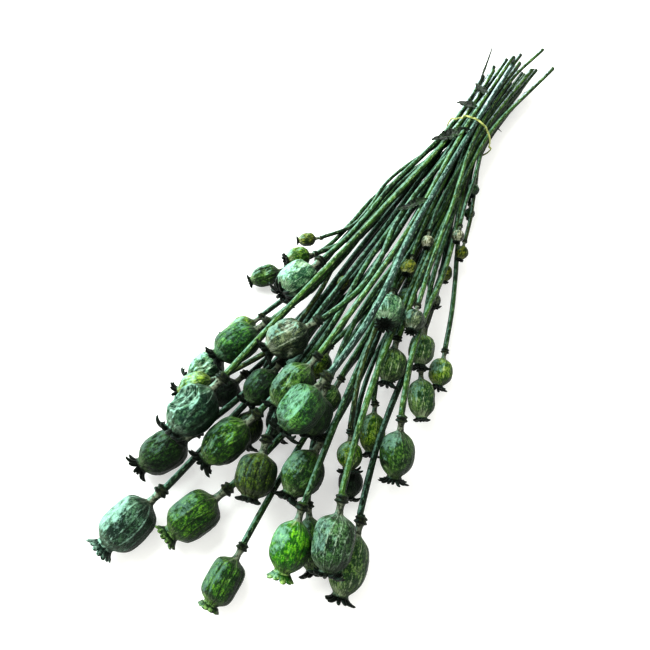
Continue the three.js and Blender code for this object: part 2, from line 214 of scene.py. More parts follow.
@dataclass
class Shells:
    """Closed shells gathered into one mesh, with what the finishes need to know at each vertex.

    Form holds rib, 1 on a capsule's rib; hollow, 1 deep in a dent; along, 0 to 1 from a part's start to
    its end; and pale, where the stipe's colour runs out over the shoulder. Zone holds how far a vertex
    belongs to the stem, the receptacle, the stipe and the crown, and what is left is capsule.
    """

    points: list[Array] = field(default_factory=list)
    forms: list[Array] = field(default_factory=list)
    zones: list[Array] = field(default_factory=list)
    uvs: list[Array] = field(default_factory=list)
    corners: list[Array] = field(default_factory=list)
    sizes: list[Array] = field(default_factory=list)
    count: int = 0

    def add_tube(self, rings: Array, form: Array, zone: Array, uv: Array) -> None:
        """Adds a closed tube: quads between neighbouring rings, and a fan of triangles at each end.

        Args:
            rings: Ring points, shape (m, n, 3), anticlockwise as seen looking from the first ring on.
            form: Form values, shape (m, n, 4).
            zone: Zone values, shape (m, n, 4).
            uv: Metres round and along the surface, shape (m, n, 2).
        """
        m, n = rings.shape[:2]
        index = self.count + np.arange(m * n).reshape(m, n)
        beside = np.roll(index, -1, axis=1)
        quads = np.stack([index[:-1], index[1:], beside[1:], beside[:-1]], axis=-1).reshape(-1, 4)
        first = np.full(n, self.count + m * n)
        start_fan = np.stack([first, index[0], beside[0]], axis=-1)
        end_fan = np.stack([first + 1, beside[-1], index[-1]], axis=-1)
        for store, values in ((self.points, rings), (self.forms, form), (self.zones, zone), (self.uvs, uv)):
            ends = [values[0].mean(axis=0), values[-1].mean(axis=0)]
            store.append(np.vstack([values.reshape(m * n, -1), *ends]))
        for block in (quads, start_fan, end_fan):
            self.corners.append(block.ravel())
            self.sizes.append(np.full(len(block), block.shape[1]))
        self.count += m * n + 2

    def to_object(self, name: str, material: bpy.types.Material) -> bpy.types.Object:
        """Writes the gathered shells into a new smooth-shaded object.

        Args:
            name: The object's name.
            material: Its one material.

        Returns:
            The object, linked to the scene and standing at the origin.
        """
        points = np.vstack(self.points)
        points[:, 2] = pressed(points[:, 2])
        corners = np.concatenate(self.corners).astype(np.int32)
        sizes = np.concatenate(self.sizes).astype(np.int32)
        starts = np.concatenate([[0], np.cumsum(sizes)[:-1]]).astype(np.int32)
        mesh = bpy.data.meshes.new(name)
        mesh.vertices.add(len(points))
        mesh.vertices.foreach_set("co", points.astype(np.float32).ravel())
        mesh.loops.add(len(corners))
        mesh.loops.foreach_set("vertex_index", corners)
        mesh.polygons.add(len(sizes))
        mesh.polygons.foreach_set("loop_start", starts)
        mesh.polygons.foreach_set("use_smooth", np.ones(len(sizes), dtype=bool))
        for title, values in (("form", self.forms), ("zone", self.zones)):
            layer = mesh.attributes.new(title, "FLOAT_COLOR", "POINT")
            layer.data.foreach_set("color", np.vstack(values).astype(np.float32).ravel())
        uv_layer = mesh.uv_layers.new(name="surface")
        uv_layer.data.foreach_set("uv", np.vstack(self.uvs)[corners].astype(np.float32).ravel())
        mesh.update(calc_edges=True)
        mesh.validate()
        mesh.materials.append(material)
        obj = bpy.data.objects.new(name, mesh)
        bpy.context.scene.collection.objects.link(obj)
        return obj


def plain(rings: Array, **parts: float | Array) -> tuple[Array, Array]:
    """Makes form and zone values for a tube's rings.

    Args:
        rings: The ring points, shape (m, n, 3).
        **parts: Values, alike all over or of shape (m, n) or (m, 1), for rib, hollow, along or pale, and
            for stem, receptacle, stipe or crown. What isn't given is 0.

    Returns:
        Form values and zone values, each of shape (m, n, 4).
    """
    names = (("rib", "hollow", "along", "pale"), ("stem", "receptacle", "stipe", "crown"))
    shape = rings.shape[:2]
    form, zone = (
        np.stack([np.broadcast_to(parts.get(name, 0.0), shape) for name in group], axis=-1) for group in names
    )
    return form, zone


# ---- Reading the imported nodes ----


def cad_node(name: str) -> bpy.types.Object:
    """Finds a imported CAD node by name."""
    return bpy.data.objects[name]


def merged_mesh(node: bpy.types.Object) -> tuple[Array, Array]:
    """Reads a node's triangles with its doubled vertices merged.

    Args:
        node: The CAD node.

    Returns:
        The vertices, shape (v, 3), and the triangles as vertex numbers, shape (f, 3).
    """
    mesh = node.data
    raw = np.empty(len(mesh.vertices) * 3, dtype=np.float32)
    mesh.vertices.foreach_get("co", raw)
    spots, merged = np.unique(np.round(raw.reshape(-1, 3), MERGE_DECIMALS), axis=0, return_inverse=True)
    corners = np.empty(len(mesh.loops), dtype=np.int32)
    mesh.loops.foreach_get("vertex_index", corners)
    return spots, merged.ravel()[corners].reshape(-1, 3)


@dataclass(frozen=True)
class Core:
    """The bare shape of one stalk: where its centre line runs and how thick it is."""

    stem: Array
    stem_radius: Array
    neck: Array
    axis: Array
    length: float
    width: float

    STEM_RINGS = 10
    FOOT_RING = 13
    FOOT_AT = 0.03
    BELLY_RING = 16
    BELLY_RADIUS = 0.49
    CUT_END_DEPTH = 8 * MM

    @classmethod
    def read(cls, node: bpy.types.Object) -> "Core":
        """Reads a stalk from its node.

        The node is a stack of rings between two end points, one at the middle of the cut end and one
        beyond the crown. The rings are met in order by stepping from the cut end, edge by edge.

        Args:
            node: The CAD node.

        Returns:
            The stalk's core.
        """
        spots, faces = merged_mesh(node)
        ring = cls.steps_from_cut_end(spots, faces)
        centres = np.array([spots[ring == k].mean(axis=0) for k in range(1, ring.max())])
        reach = np.linalg.norm(spots - centres[np.clip(ring - 1, 0, len(centres) - 1)], axis=1)
        radii = np.array([reach[ring == k].mean() for k in range(1, ring.max())])
        rim, foot = centres[-1], centres[cls.FOOT_RING]
        axis = unit(rim - foot)
        length = float(np.linalg.norm(rim - foot)) / (1.0 - cls.FOOT_AT)
        return cls(
            stem=centres[: cls.STEM_RINGS + 1],
            stem_radius=radii[: cls.STEM_RINGS],
            neck=foot - axis * cls.FOOT_AT * length,
            axis=axis,
            length=length,
            width=float(radii[cls.BELLY_RING]) / cls.BELLY_RADIUS,
        )

    @staticmethod
    def steps_from_cut_end(spots: Array, faces: Array) -> Array:
        """Counts the edges from the middle of the cut end to each vertex.

        Args:
            spots: The node's vertices, shape (v, 3).
            faces: Its triangles, shape (f, 3).

        Returns:
            The number of edges to each vertex, shape (v,).
        """
        links = np.vstack([faces[:, [0, 1]], faces[:, [1, 2]], faces[:, [2, 0]]])
        links = np.vstack([links, links[:, ::-1]])
        cut_end = spots[:, 1] > spots[:, 1].max() - Core.CUT_END_DEPTH
        start = int(np.argmin(np.linalg.norm(spots - spots[cut_end].mean(axis=0), axis=1)))
        steps = np.full(len(spots), -1)
        steps[start] = 0
        front = np.array([start])
        while len(front):
            reached = links[np.isin(links[:, 0], front), 1]
            level = steps[front[0]] + 1
            front = np.unique(reached[steps[reached] < 0])
            steps[front] = level
        return steps


# ---- Looks ----


def srgb(red: int, green: int, blue: int) -> Colour:
    """Turns a colour given in display values, 0 to 255, into the linear values that shaders take."""
    return tuple(
        ((v / 255 + 0.055) / 1.055) ** 2.4 if v > 10 else v / 255 / 12.92 for v in (red, green, blue)
    )


@dataclass(frozen=True)
class SkinLook:
    """How one capsule's skin looks.

    Dark, middle and light are its three mottled greens, bloom is the dry waxy film on ribs and dents,
    and rib_film and dent_film say how much of it lies there. Patchy is how readily the light tone
    shows, overall_film how much film lies everywhere, rib_shadow how dark the painted shade along a
    rib's flanks is, and the last value how strong the painted highlight is on the side facing the light.
    """

    dark: Colour
    middle: Colour
    light: Colour
    bloom: Colour
    rib_film: float = 0.5
    dent_film: float = 0.6
    patchy: float = 0.35
    overall_film: float = 0.12
    # How dark the painted shade along a rib's flanks is.
    rib_shadow: float = 0.6
    # How strong the painted highlight is on the side facing the light.
    bleach: float = 0.3


class Skin(Enum):
    """The kinds of capsule skin in the bunch."""

    MINT = SkinLook(srgb(8, 32, 22), srgb(28, 64, 44), srgb(74, 110, 82), srgb(146, 182, 164), 0.6, 0.8, 0.5,
                    0.24, 0.6, 0.6)
    BRIGHT = SkinLook(srgb(8, 38, 6), srgb(36, 86, 14), srgb(88, 132, 34), srgb(128, 164, 94), 0.36, 0.5, 0.3,
                      0.08, 0.95, 0.18)
    LIME = SkinLook(srgb(16, 72, 4), srgb(56, 136, 10), srgb(116, 178, 36), srgb(162, 196, 112), 0.25, 0.5,
                    0.3, 0.08, 0.6, 0.35)
    GREY_BLOOM = SkinLook(srgb(9, 32, 14), srgb(34, 74, 34), srgb(76, 112, 66), srgb(150, 174, 150), 0.5, 0.7,
                          0.5, 0.36, 0.6, 0.3)
    BOTTLE = SkinLook(srgb(5, 22, 9), srgb(20, 54, 18), srgb(50, 88, 30), srgb(100, 132, 88), 0.2, 0.4, 0.3,
                      0.08, 0.6, 0.12)
    FERN = SkinLook(srgb(9, 36, 10), srgb(36, 78, 24), srgb(80, 118, 44), srgb(138, 164, 116), 0.35, 0.7, 0.4,
                    0.16, 0.6, 0.28)
    SAGE = SkinLook(srgb(26, 60, 26), srgb(74, 110, 52), srgb(122, 154, 84), srgb(178, 194, 158), 0.45, 0.7,
                    0.5, 0.22, 0.6, 0.4)
    SPRING = SkinLook(srgb(34, 72, 14), srgb(94, 134, 34), srgb(148, 178, 66), srgb(190, 206, 146), 0.35, 0.5,
                      0.5, 0.2, 0.6, 0.5)
    TEAL = SkinLook(srgb(10, 42, 30), srgb(36, 78, 56), srgb(82, 122, 88), srgb(146, 178, 158), 0.35, 0.8,
                    0.45, 0.2, 0.6, 0.5)
    CELADON = SkinLook(srgb(24, 66, 42), srgb(72, 120, 82), srgb(122, 166, 118), srgb(178, 206, 176), 0.45,
                       0.7, 0.5, 0.28, 0.6, 0.75)
    SUNKEN_MINT = SkinLook(srgb(8, 42, 16), srgb(40, 98, 32), srgb(90, 142, 62), srgb(108, 158, 128), 0.3,
                           0.75, 0.4, 0.12, 0.6, 0.12)
    OLIVE = SkinLook(srgb(9, 24, 6), srgb(34, 60, 12), srgb(78, 98, 26), srgb(124, 138, 80), 0.25, 0.4, 0.4,
                     0.06, 0.8, 0.1)
    YELLOW = SkinLook(srgb(34, 54, 8), srgb(96, 116, 26), srgb(152, 158, 58), srgb(188, 192, 130), 0.35, 0.5,
                      0.5, 0.16, 0.6, 0.25)
    BLACKISH = SkinLook(srgb(3, 12, 6), srgb(10, 28, 13), srgb(26, 52, 24), srgb(76, 100, 78), 0.2, 0.4, 0.2,
                        0.05, 0.6, 0.1)
    BROWN_GREY = SkinLook(srgb(18, 38, 26), srgb(60, 78, 52), srgb(106, 118, 84), srgb(160, 170, 152), 0.4,
                          0.6, 0.5, 0.24, 0.6, 0.35)
    PALE = SkinLook(srgb(50, 56, 34), srgb(138, 142, 106), srgb(192, 194, 166), srgb(228, 228, 214), 0.5, 0.5,
                    0.6, 0.24, 0.5, 0.25)


@dataclass(frozen=True)
class StemLook:
    """A stem's dark and light streaks, and the dry film on it."""

    dark: Colour
    light: Colour
    film: Colour


class Stem(Enum):
    """The kinds of stem in the bunch."""

    GREEN = StemLook(srgb(8, 30, 12), srgb(40, 76, 30), srgb(118, 150, 104))
    DARK = StemLook(srgb(5, 18, 10), srgb(22, 46, 24), srgb(82, 114, 84))
    BRIGHT = StemLook(srgb(14, 44, 10), srgb(66, 104, 38), srgb(146, 172, 112))
    BLUISH = StemLook(srgb(10, 32, 26), srgb(50, 84, 70), srgb(150, 174, 166))
    OLIVE = StemLook(srgb(16, 28, 10), srgb(56, 72, 30), srgb(124, 136, 90))


RECEPTACLE = (srgb(10, 18, 10), srgb(52, 60, 34))
STIPE = (srgb(46, 54, 40), srgb(122, 130, 110))
CHARRED = (srgb(4, 9, 6), srgb(16, 28, 18))
# Painted light: the direction that the painted highlight faces, towards the key light at the upper left.
UPPER_SIDE = (-0.72, 0.02, 0.69)
# Colour of the painted highlight on the lit side.
SKYLIT = srgb(176, 232, 212)
# Colour of the painted highlight near a stem's cut end.
CUT_END_HIGHLIGHT = srgb(206, 226, 232)
# Colour of the painted shade on the side away from the light.
PAINTED_SHADE = (0.003, 0.008, 0.004)


# ---- Node trees ----


@dataclass
class Wiring:
    """A node tree being wired: each method adds a node and returns its output socket."""

    tree: bpy.types.NodeTree

    def add(self, kind: str, **settings: object) -> bpy.types.Node:
        """Adds a node and sets its properties."""
        node = self.tree.nodes.new(kind)
        for name, value in settings.items():
            setattr(node, name, value)
        return node

    def join(self, value: Value, socket: bpy.types.NodeSocket) -> None:
        """Links a socket to another, or sets a plain value on it."""
        if isinstance(value, bpy.types.NodeSocket):
            self.tree.links.new(value, socket)
        elif isinstance(value, tuple) and socket.type == "RGBA":
            socket.default_value = (*value, 1.0)
        else:
            socket.default_value = value

    def noise(self, at: Value, scale: float, detail: float = 3.0, rough: float = 0.55) -> Value:
        """Fractal noise, about 0.3 to 0.7."""
        node = self.add("ShaderNodeTexNoise")
        self.join(at, node.inputs["Vector"])
        self.join(scale, node.inputs["Scale"])
        self.join(detail, node.inputs["Detail"])
        self.join(rough, node.inputs["Roughness"])
        return node.outputs["Fac"]

    def stretched(self, at: Value, scale: tuple[float, float, float]) -> Value:
        """Scales a place along each axis."""
        node = self.add("ShaderNodeMapping", vector_type="POINT")
        self.join(at, node.inputs["Vector"])
        self.join(scale, node.inputs["Scale"])
        return node.outputs["Vector"]

    def ramp(self, value: Value, low: float, high: float, top: float = 1.0) -> Value:
        """Carries low to high onto 0 to top, easing in and out, and holds outside."""
        node = self.add("ShaderNodeMapRange", interpolation_type="SMOOTHSTEP")
        for title, number in (("Value", value), ("From Min", low), ("From Max", high), ("To Max", top)):
            self.join(number, node.inputs[title])
        return node.outputs["Result"]

    def math(self, what: str, a: Value, b: Value = 0.0) -> Value:
        """One operation on two values, held between 0 and 1."""
        node = self.add("ShaderNodeMath", operation=what, use_clamp=True)
        self.join(a, node.inputs[0])
        self.join(b, node.inputs[1])
        return node.outputs["Value"]

    def times(self, a: Value, b: Value) -> Value:
        """The product of two values, held between 0 and 1."""
        return self.math("MULTIPLY", a, b)

    def plus(self, a: Value, b: Value) -> Value:
        """The sum of two values, held between 0 and 1."""
        return self.math("ADD", a, b)

    def minus(self, a: Value, b: Value) -> Value:
        """The difference of two values, held between 0 and 1."""
        return self.math("SUBTRACT", a, b)

    def blend(self, a: Value, share: float, b: Value) -> Value:
        """A weighted mean: share x a + (1 - share) x b."""
        return self.plus(self.times(a, share), self.times(b, 1.0 - share))

    def multiply_add(self, kind: str, a: Value, b: Value, c: Value) -> bpy.types.Node:
        """A node of the given kind that works out a x b + c."""
        node = self.add(kind, operation="MULTIPLY_ADD")
        for value, socket in zip((a, b, c), node.inputs):
            self.join(value, socket)
        return node

    def places(self) -> tuple[Value, Value]:
        """Where the shaded point is: in the object, and over its surface."""
        place = self.add("ShaderNodeTexCoord").outputs["Object"]
        return place, self.add("ShaderNodeUVMap", uv_map="surface").outputs["UV"]

    def mix(self, mask: Value, under: Value, over: Value) -> Value:
        """Lays one colour over another by a mask."""
        node = self.add("ShaderNodeMix", data_type="RGBA", clamp_factor=True)
        self.join(mask, node.inputs["Factor"])
        self.join(under, node.inputs["A"])
        self.join(over, node.inputs["B"])
        return node.outputs["Result"]

    def parts(self, attribute: str) -> tuple[Value, Value, Value, Value]:
        """Reads the four values of a colour attribute."""
        source = self.add("ShaderNodeAttribute", attribute_name=attribute)
        split = self.add("ShaderNodeSeparateColor")
        self.join(source.outputs["Color"], split.inputs["Color"])
        return (*split.outputs, source.outputs["Alpha"])

    def use(self, group: bpy.types.NodeTree, **values: Value) -> dict[str, Value]:
        """Places a shared group with its own values, given by their names in lower case."""
        node = self.add("ShaderNodeGroup", node_tree=group)
        for socket in node.inputs:
            self.join(values[socket.name.lower().replace(" ", "_")], socket)
        return {socket.name: socket for socket in node.outputs}

    def surface(self, colour: Value, rough: Value, height: Value, depth: float, **fixed: Value) -> None:
        """Finishes a material with one Principled shader.

        Args:
            colour: Base colour.
            rough: Roughness.
            height: Bump height, 0 to 1.
            depth: How tall that height is, in metres.
            **fixed: Other sockets' plain values, with underscores for spaces.
        """
        bump = self.add("ShaderNodeBump")
        self.join(depth, bump.inputs["Distance"])
        self.join(height, bump.inputs["Height"])
        shader = self.add("ShaderNodeBsdfPrincipled")
        self.join(colour, shader.inputs["Base Color"])
        self.join(rough, shader.inputs["Roughness"])
        self.join(bump.outputs["Normal"], shader.inputs["Normal"])
        for name, value in fixed.items():
            self.join(value, shader.inputs[name.replace("_", " ")])
        out = self.add("ShaderNodeOutputMaterial")
        self.join(shader.outputs["BSDF"], out.inputs["Surface"])


def new_group(name: str, takes: dict[str, str], gives: dict[str, str]) -> tuple[Wiring, dict, dict]:
    """Starts a shared node group.

    Args:
        name: The group's name.
        takes: Input names and kinds, each kind Float, Vector or Color.
        gives: Output names and kinds.

    Returns:
        The wiring, the sockets that bring values in, and the sockets that take them out.
    """
    tree = bpy.data.node_groups.new(name, "ShaderNodeTree")
    for way, sockets in (("INPUT", takes), ("OUTPUT", gives)):
        for title, kind in sockets.items():
            tree.interface.new_socket(title, in_out=way, socket_type=f"NodeSocket{kind}")
    wiring = Wiring(tree)
    have = {socket.name: socket for socket in wiring.add("NodeGroupInput").outputs if socket.name}
    give = {socket.name: socket for socket in wiring.add("NodeGroupOutput").inputs if socket.name}
    return wiring, have, give


def new_material(name: str) -> tuple[bpy.types.Material, Wiring]:
    """Starts a material with an empty node tree."""
    material = bpy.data.materials.new(name)
    material.use_nodes = True
    material.node_tree.nodes.clear()
    return material, Wiring(material.node_tree)


@dataclass(frozen=True)
class DyedMottle:
    """Shared effect: dye that took unevenly, in blots of three tones with fine flecks."""

    BLOT = 90.0
    FLECK = 600.0

    def build(self) -> bpy.types.NodeTree:
        """Builds the group: blots and flecks of noise pick between dark, middle and light.

        Returns:
            The group's node tree.
        """
        w, have, give = new_group(
            "dyed_mottle",
            {"Place": "Vector", "Along": "Vector", "Dark": "Color", "Middle": "Color", "Light": "Color",
             "Lightness": "Float"},
            {"Colour": "Color", "Tone": "Float"},
        )
        blot = w.noise(have["Place"], self.BLOT, 3.0, 0.6)
        fleck = w.noise(w.stretched(have["Along"], (1.0, 0.45, 1.0)), self.FLECK, 4.0, 0.7)
        tone = w.blend(blot, 0.45, fleck)
        colour = w.mix(w.ramp(tone, 0.45, 0.53), have["Dark"], have["Middle"])
        lit = w.ramp(w.plus(tone, w.times(have["Lightness"], 0.1)), 0.52, 0.64)
        colour = w.mix(lit, colour, have["Light"])
        w.join(colour, give["Colour"])
        w.join(w.ramp(tone, 0.38, 0.62), give["Tone"])
        return w.tree


@dataclass(frozen=True)
class PaintedSideLight:
    """Shared effect: painted highlight on the side facing the light, painted shade on the side away.

    Side is sway x noise + how far the surface faces the upper side. Deep and pale hold the values of
    side between which the painted shade deepens and the painted highlight sets in.
    """

    UNEVEN = 230.0
    SWAY = 1.2
    DEEP = (1.2, 0.05, 0.9)
    PALE = (1.32, 1.66)

    def build(self) -> bpy.types.NodeTree:
        """Builds the group: how far the surface faces the bleached side, roughened by noise.

        Returns:
            The group's node tree.
        """
        w, have, give = new_group(
            "weathered_sides",
            {"Place": "Vector", "Colour": "Color", "Bleach": "Float", "Bleached": "Color"},
            {"Colour": "Color"},
        )
        facing = w.add("ShaderNodeVectorMath", operation="DOT_PRODUCT")
        w.join(w.add("ShaderNodeNewGeometry").outputs["Normal"], facing.inputs[0])
        w.join(UPPER_SIDE, facing.inputs[1])
        uneven = w.noise(have["Place"], self.UNEVEN, 4.0, 0.7)
        side = w.multiply_add("ShaderNodeMath", uneven, self.SWAY, facing.outputs["Value"]).outputs["Value"]
        # Painted shade: the side facing away from the light darkens to near black.
        deep = w.mix(w.ramp(side, *self.DEEP), have["Colour"], PAINTED_SHADE)
        # Painted highlight: the side facing the light turns to the highlight colour.
        bleached = w.times(w.ramp(side, *self.PALE), have["Bleach"])
        w.join(w.mix(bleached, deep, have["Bleached"]), give["Colour"])
        return w.tree


@dataclass(frozen=True)
class DryFilm:
    """Shared effect: pale dry wax left in broken streaks that run along a surface."""

    STREAK = (900.0, 330.0, 1.0)
    PATCH = 95.0
    REACHED = (0.59, 0.8)

    def build(self) -> bpy.types.NodeTree:
        """Builds the group: noise stretched along the surface, more of it where Amount is high.

        Returns:
            The group's node tree.
        """
        w, have, give = new_group(
            "dry_film",
            {"Along": "Vector", "Place": "Vector", "Amount": "Float"},
            {"Mask": "Float"},
        )
        streak = w.noise(w.stretched(have["Along"], self.STREAK), 1.0, 3.0, 0.6)
        patch = w.noise(have["Place"], self.PATCH, 2.0, 0.5)
        level = w.plus(w.blend(streak, 0.6, patch), w.times(have["Amount"], 0.22))
        w.join(w.times(w.ramp(level, *self.REACHED), w.ramp(have["Amount"], 0.0, 0.5)), give["Mask"])
        return w.tree


@dataclass(frozen=True)
class WrinkleNet:
    """Shared effect: a net of fine shrinkage wrinkles, its cells drawn out along the surface."""

    CELLS = (340.0, 170.0, 1.0)
    WARP = (1.3, 1.3, 0.0)
    SWIRL = 210.0
    PATCH = 130.0
    BREAK = 700.0

    def build(self) -> bpy.types.NodeTree:
        """Builds the group: edges of warped cells, dark in some patches and pale in others.

        Returns:
            The group's node tree.
        """
        w, have, give = new_group(
            "wrinkle_net", {"Along": "Vector", "Place": "Vector"}, {"Dark": "Float", "Pale": "Float"}
        )
        swirl = w.add("ShaderNodeTexNoise")
        w.join(have["Place"], swirl.inputs["Vector"])
        w.join(self.SWIRL, swirl.inputs["Scale"])
        stretched = w.stretched(have["Along"], self.CELLS)
        warped = w.multiply_add("ShaderNodeVectorMath", swirl.outputs["Color"], self.WARP, stretched)
        cells = w.add("ShaderNodeTexVoronoi", feature="DISTANCE_TO_EDGE", voronoi_dimensions="2D")
        w.join(warped.outputs["Vector"], cells.inputs["Vector"])
        w.join(1.0, cells.inputs["Scale"])
        line = w.ramp(cells.outputs["Distance"], 0.16, 0.03)
        patch = w.noise(have["Place"], self.PATCH, 2.0, 0.5)
        w.join(w.times(line, w.ramp(patch, 0.54, 0.47)), give["Dark"])
        broken = w.ramp(w.noise(have["Place"], self.BREAK, 3.0, 0.7), 0.42, 0.6)
        w.join(w.times(w.times(line, broken), w.ramp(patch, 0.5, 0.58)), give["Pale"])
        return w.tree


@dataclass(frozen=True)
class FibreGrain:
    """Shared effect: dark and light fibres running along a stem, with small pale flecks."""

    FIBRE = (1500.0, 38.0, 1.0)
    FLECK = (900.0, 210.0, 1.0)
    BLOT = 60.0

    def build(self) -> bpy.types.NodeTree:
        """Builds the group: two stretched noises, one for the fibres' colour and one for the flecks.

        Returns:
            The group's node tree.
        """
        w, have, give = new_group(
            "fibre_grain",
            {"Along": "Vector", "Place": "Vector", "Dark": "Color", "Light": "Color", "Film": "Color"},
            {"Colour": "Color", "Height": "Float"},
        )
        fibre = w.noise(w.stretched(have["Along"], self.FIBRE), 1.0, 3.0, 0.6)
        blot = w.noise(have["Place"], self.BLOT, 2.0, 0.5)
        tone = w.blend(fibre, 0.6, blot)
        fleck = w.noise(w.stretched(have["Along"], self.FLECK), 1.0, 2.0, 0.6)
        colour = w.mix(w.ramp(tone, 0.44, 0.57), have["Dark"], have["Light"])
        w.join(w.mix(w.ramp(fleck, 0.55, 0.66, 0.8), colour, have["Film"]), give["Colour"])
        w.join(fibre, give["Height"])
        return w.tree


@dataclass
class Finishes:
    """Builds the shared groups once, and each material the first time that it is asked for."""

    mottle: bpy.types.NodeTree = field(default_factory=lambda: DyedMottle().build())
    film: bpy.types.NodeTree = field(default_factory=lambda: DryFilm().build())
    grain: bpy.types.NodeTree = field(default_factory=lambda: FibreGrain().build())
    # Shared group that paints a highlight on the lit side and shade on the side away.
    side_light: bpy.types.NodeTree = field(default_factory=lambda: PaintedSideLight().build())
    net: bpy.types.NodeTree = field(default_factory=lambda: WrinkleNet().build())
    stalks: dict[tuple[Skin, Stem, bool], bpy.types.Material] = field(default_factory=dict)

    LADDER = (330.0, 1150.0, 1.0)
    RELIEF = 1.3 * MM
    RUBBER_RELIEF = 0.3 * MM
    LEAF_RELIEF = 1.2 * MM
    SHEEN = 0.15

    def stalk(self, skin: Skin, stem: Stem, dyed_crown: bool) -> bpy.types.Material:
        """The material of a stalk, made the first time that it is asked for.

        Args:
            skin: The capsule's skin.
            stem: The kind of stem.
            dyed_crown: Whether the crown is as green as its capsule.

        Returns:
            The material.
        """
        kind = (skin, stem, dyed_crown)
        if kind not in self.stalks:
            self.stalks[kind] = self.new_stalk(*kind)
        return self.stalks[kind]

    def new_stalk(self, skin: Skin, stem: Stem, dyed_crown: bool) -> bpy.types.Material:
        """Makes a stalk's material.

        The zone attribute lays the receptacle, stipe, capsule skin and crown over the stem's fibres. Painted
        highlight lies on the lit side, strongest on the stem near its cut end, and painted shade on the side
        away.

        Args:
            skin: The capsule's skin.
            stem: The kind of stem.
            dyed_crown: Whether the crown is as green as its capsule.

        Returns:
            The material.
        """
        look, fibres = skin.value, stem.value
        crown_name = "dyed" if dyed_crown else "charred"
        material, w = new_material(f"{skin.name}_capsule_{stem.name}_stem_{crown_name}_crown".lower())
        place, surface = w.places()
        form = w.parts("form")
        along = form[2]
        on_stem, on_receptacle, on_stipe, on_crown = w.parts("zone")
        stalk = w.use(self.grain, along=surface, place=place, dark=fibres.dark, light=fibres.light,
                      film=fibres.film)
        colour, film, tone, height = self.capsule(w, look, place, surface, form)
        crown_dark, crown_light = (look.dark, look.bloom) if dyed_crown else CHARRED
        blotches = w.noise(place, 420.0, 3.0, 0.6)
        tip = w.times(w.ramp(along, 0.2, 1.0), w.ramp(blotches, 0.4, 0.6))
        colour = w.mix(on_crown, colour, w.mix(tip, crown_dark, crown_light))
        ring = w.mix(w.ramp(blotches, 0.45, 0.66), *RECEPTACLE)
        chalk = w.mix(w.ramp(blotches, 0.38, 0.56), *STIPE)
        for mask, layer in ((on_stem, stalk["Colour"]), (on_receptacle, ring), (on_stipe, chalk)):
            colour = w.mix(mask, colour, layer)
        # Painted highlight amounts: on the capsule by its look, on every stem, and most near a stem's cut
        # end.
        bare = w.plus(on_stem, w.times(on_receptacle, 0.8))
        if not dyed_crown:
            bare = w.plus(bare, w.times(on_crown, 0.85))
        near_cut = w.times(on_stem, w.ramp(along, 0.24, 0.13))
        bleach = w.times(w.minus(1.0, bare), look.bleach)
        bleach = w.plus(bleach, w.times(on_stem, 0.34))
        bleach = w.plus(bleach, w.times(near_cut, 0.6))
        # Paints the highlight on the lit side and the shade on the side away.
        colour = w.use(self.side_light, place=place, colour=colour, bleach=bleach,
                       bleached=w.mix(near_cut, SKYLIT, CUT_END_HIGHLIGHT))["Colour"]
        rough = w.plus(w.ramp(w.plus(film, w.times(tone, 0.25)), 0.0, 1.0, 0.3), 0.4)
        height = w.plus(height, w.times(w.times(on_stem, stalk["Height"]), 0.6))
        w.surface(colour, rough, height, self.RELIEF, Specular_IOR_Level=self.SHEEN)
        return material

    def capsule(
        self, w: Wiring, look: SkinLook, place: Value, surface: Value, form: tuple[Value, Value, Value, Value]
    ) -> tuple[Value, Value, Value, Value]:
        """Wires a capsule's skin.

        Painted shade lies dark along both flanks of each rib, and the skin darkens in short bars across it
        and along the net of wrinkles, where the bump sinks. Dry film lies on the ribs and in the dents, and
        chalk where the stipe runs out over the shoulder.

        Args:
            w: The material's wiring.
            look: The skin's look.
            place: Where the shaded point is in the object.
            surface: Where it is over the surface.
            form: The form attribute's values: rib, hollow, along and pale.

        Returns:
            The colour, how much film there is, the dye's tone, and the bump height.
        """
        rib, hollow, _, pale = form
        dye = w.use(self.mottle, place=place, along=surface, dark=look.dark, middle=look.middle,
                    light=look.light, lightness=look.patchy)
        ladder = w.noise(w.stretched(surface, self.LADDER), 1.0, 3.0, 0.6)
        net = w.use(self.net, along=surface, place=place)
        beside_rib = w.times(w.ramp(rib, 0.02, 0.2), w.minus(1.0, w.ramp(rib, 0.3, 0.6)))
        rungs = w.ramp(ladder, 0.52, 0.36, 0.8)
        colour = dye["Colour"]
        # Painted shade along each rib's flanks, then darker cross bars and wrinkle lines where the bump
        # sinks.
        for mask in (w.times(beside_rib, look.rib_shadow), rungs, w.times(net["Dark"], 0.75)):
            colour = w.mix(mask, colour, look.dark)
        colour = w.mix(w.times(net["Pale"], 0.15 + 0.7 * look.overall_film), colour, look.bloom)
        on_rib = w.times(w.ramp(rib, 0.2, 0.9), look.rib_film)
        amount = w.math("MAXIMUM", on_rib, w.times(hollow, look.dent_film))
        amount = w.math("MAXIMUM", w.plus(amount, look.overall_film), w.times(pale, 0.95))
        film = w.use(self.film, along=surface, place=place, amount=amount)["Mask"]
        colour = w.mix(film, colour, look.bloom)
        chalky = w.times(pale, w.ramp(w.noise(surface, 520.0, 3.0, 0.7), 0.42, 0.62, 0.62))
        colour = w.mix(chalky, colour, STIPE[1])
        fine = w.noise(place, 1500.0, 3.0, 0.6)
        height = w.plus(w.times(fine, 0.25), w.times(dye["Tone"], 0.3))
        height = w.plus(height, w.times(ladder, 0.6))
        return colour, film, dye["Tone"], w.minus(height, w.times(net["Dark"], 0.25))

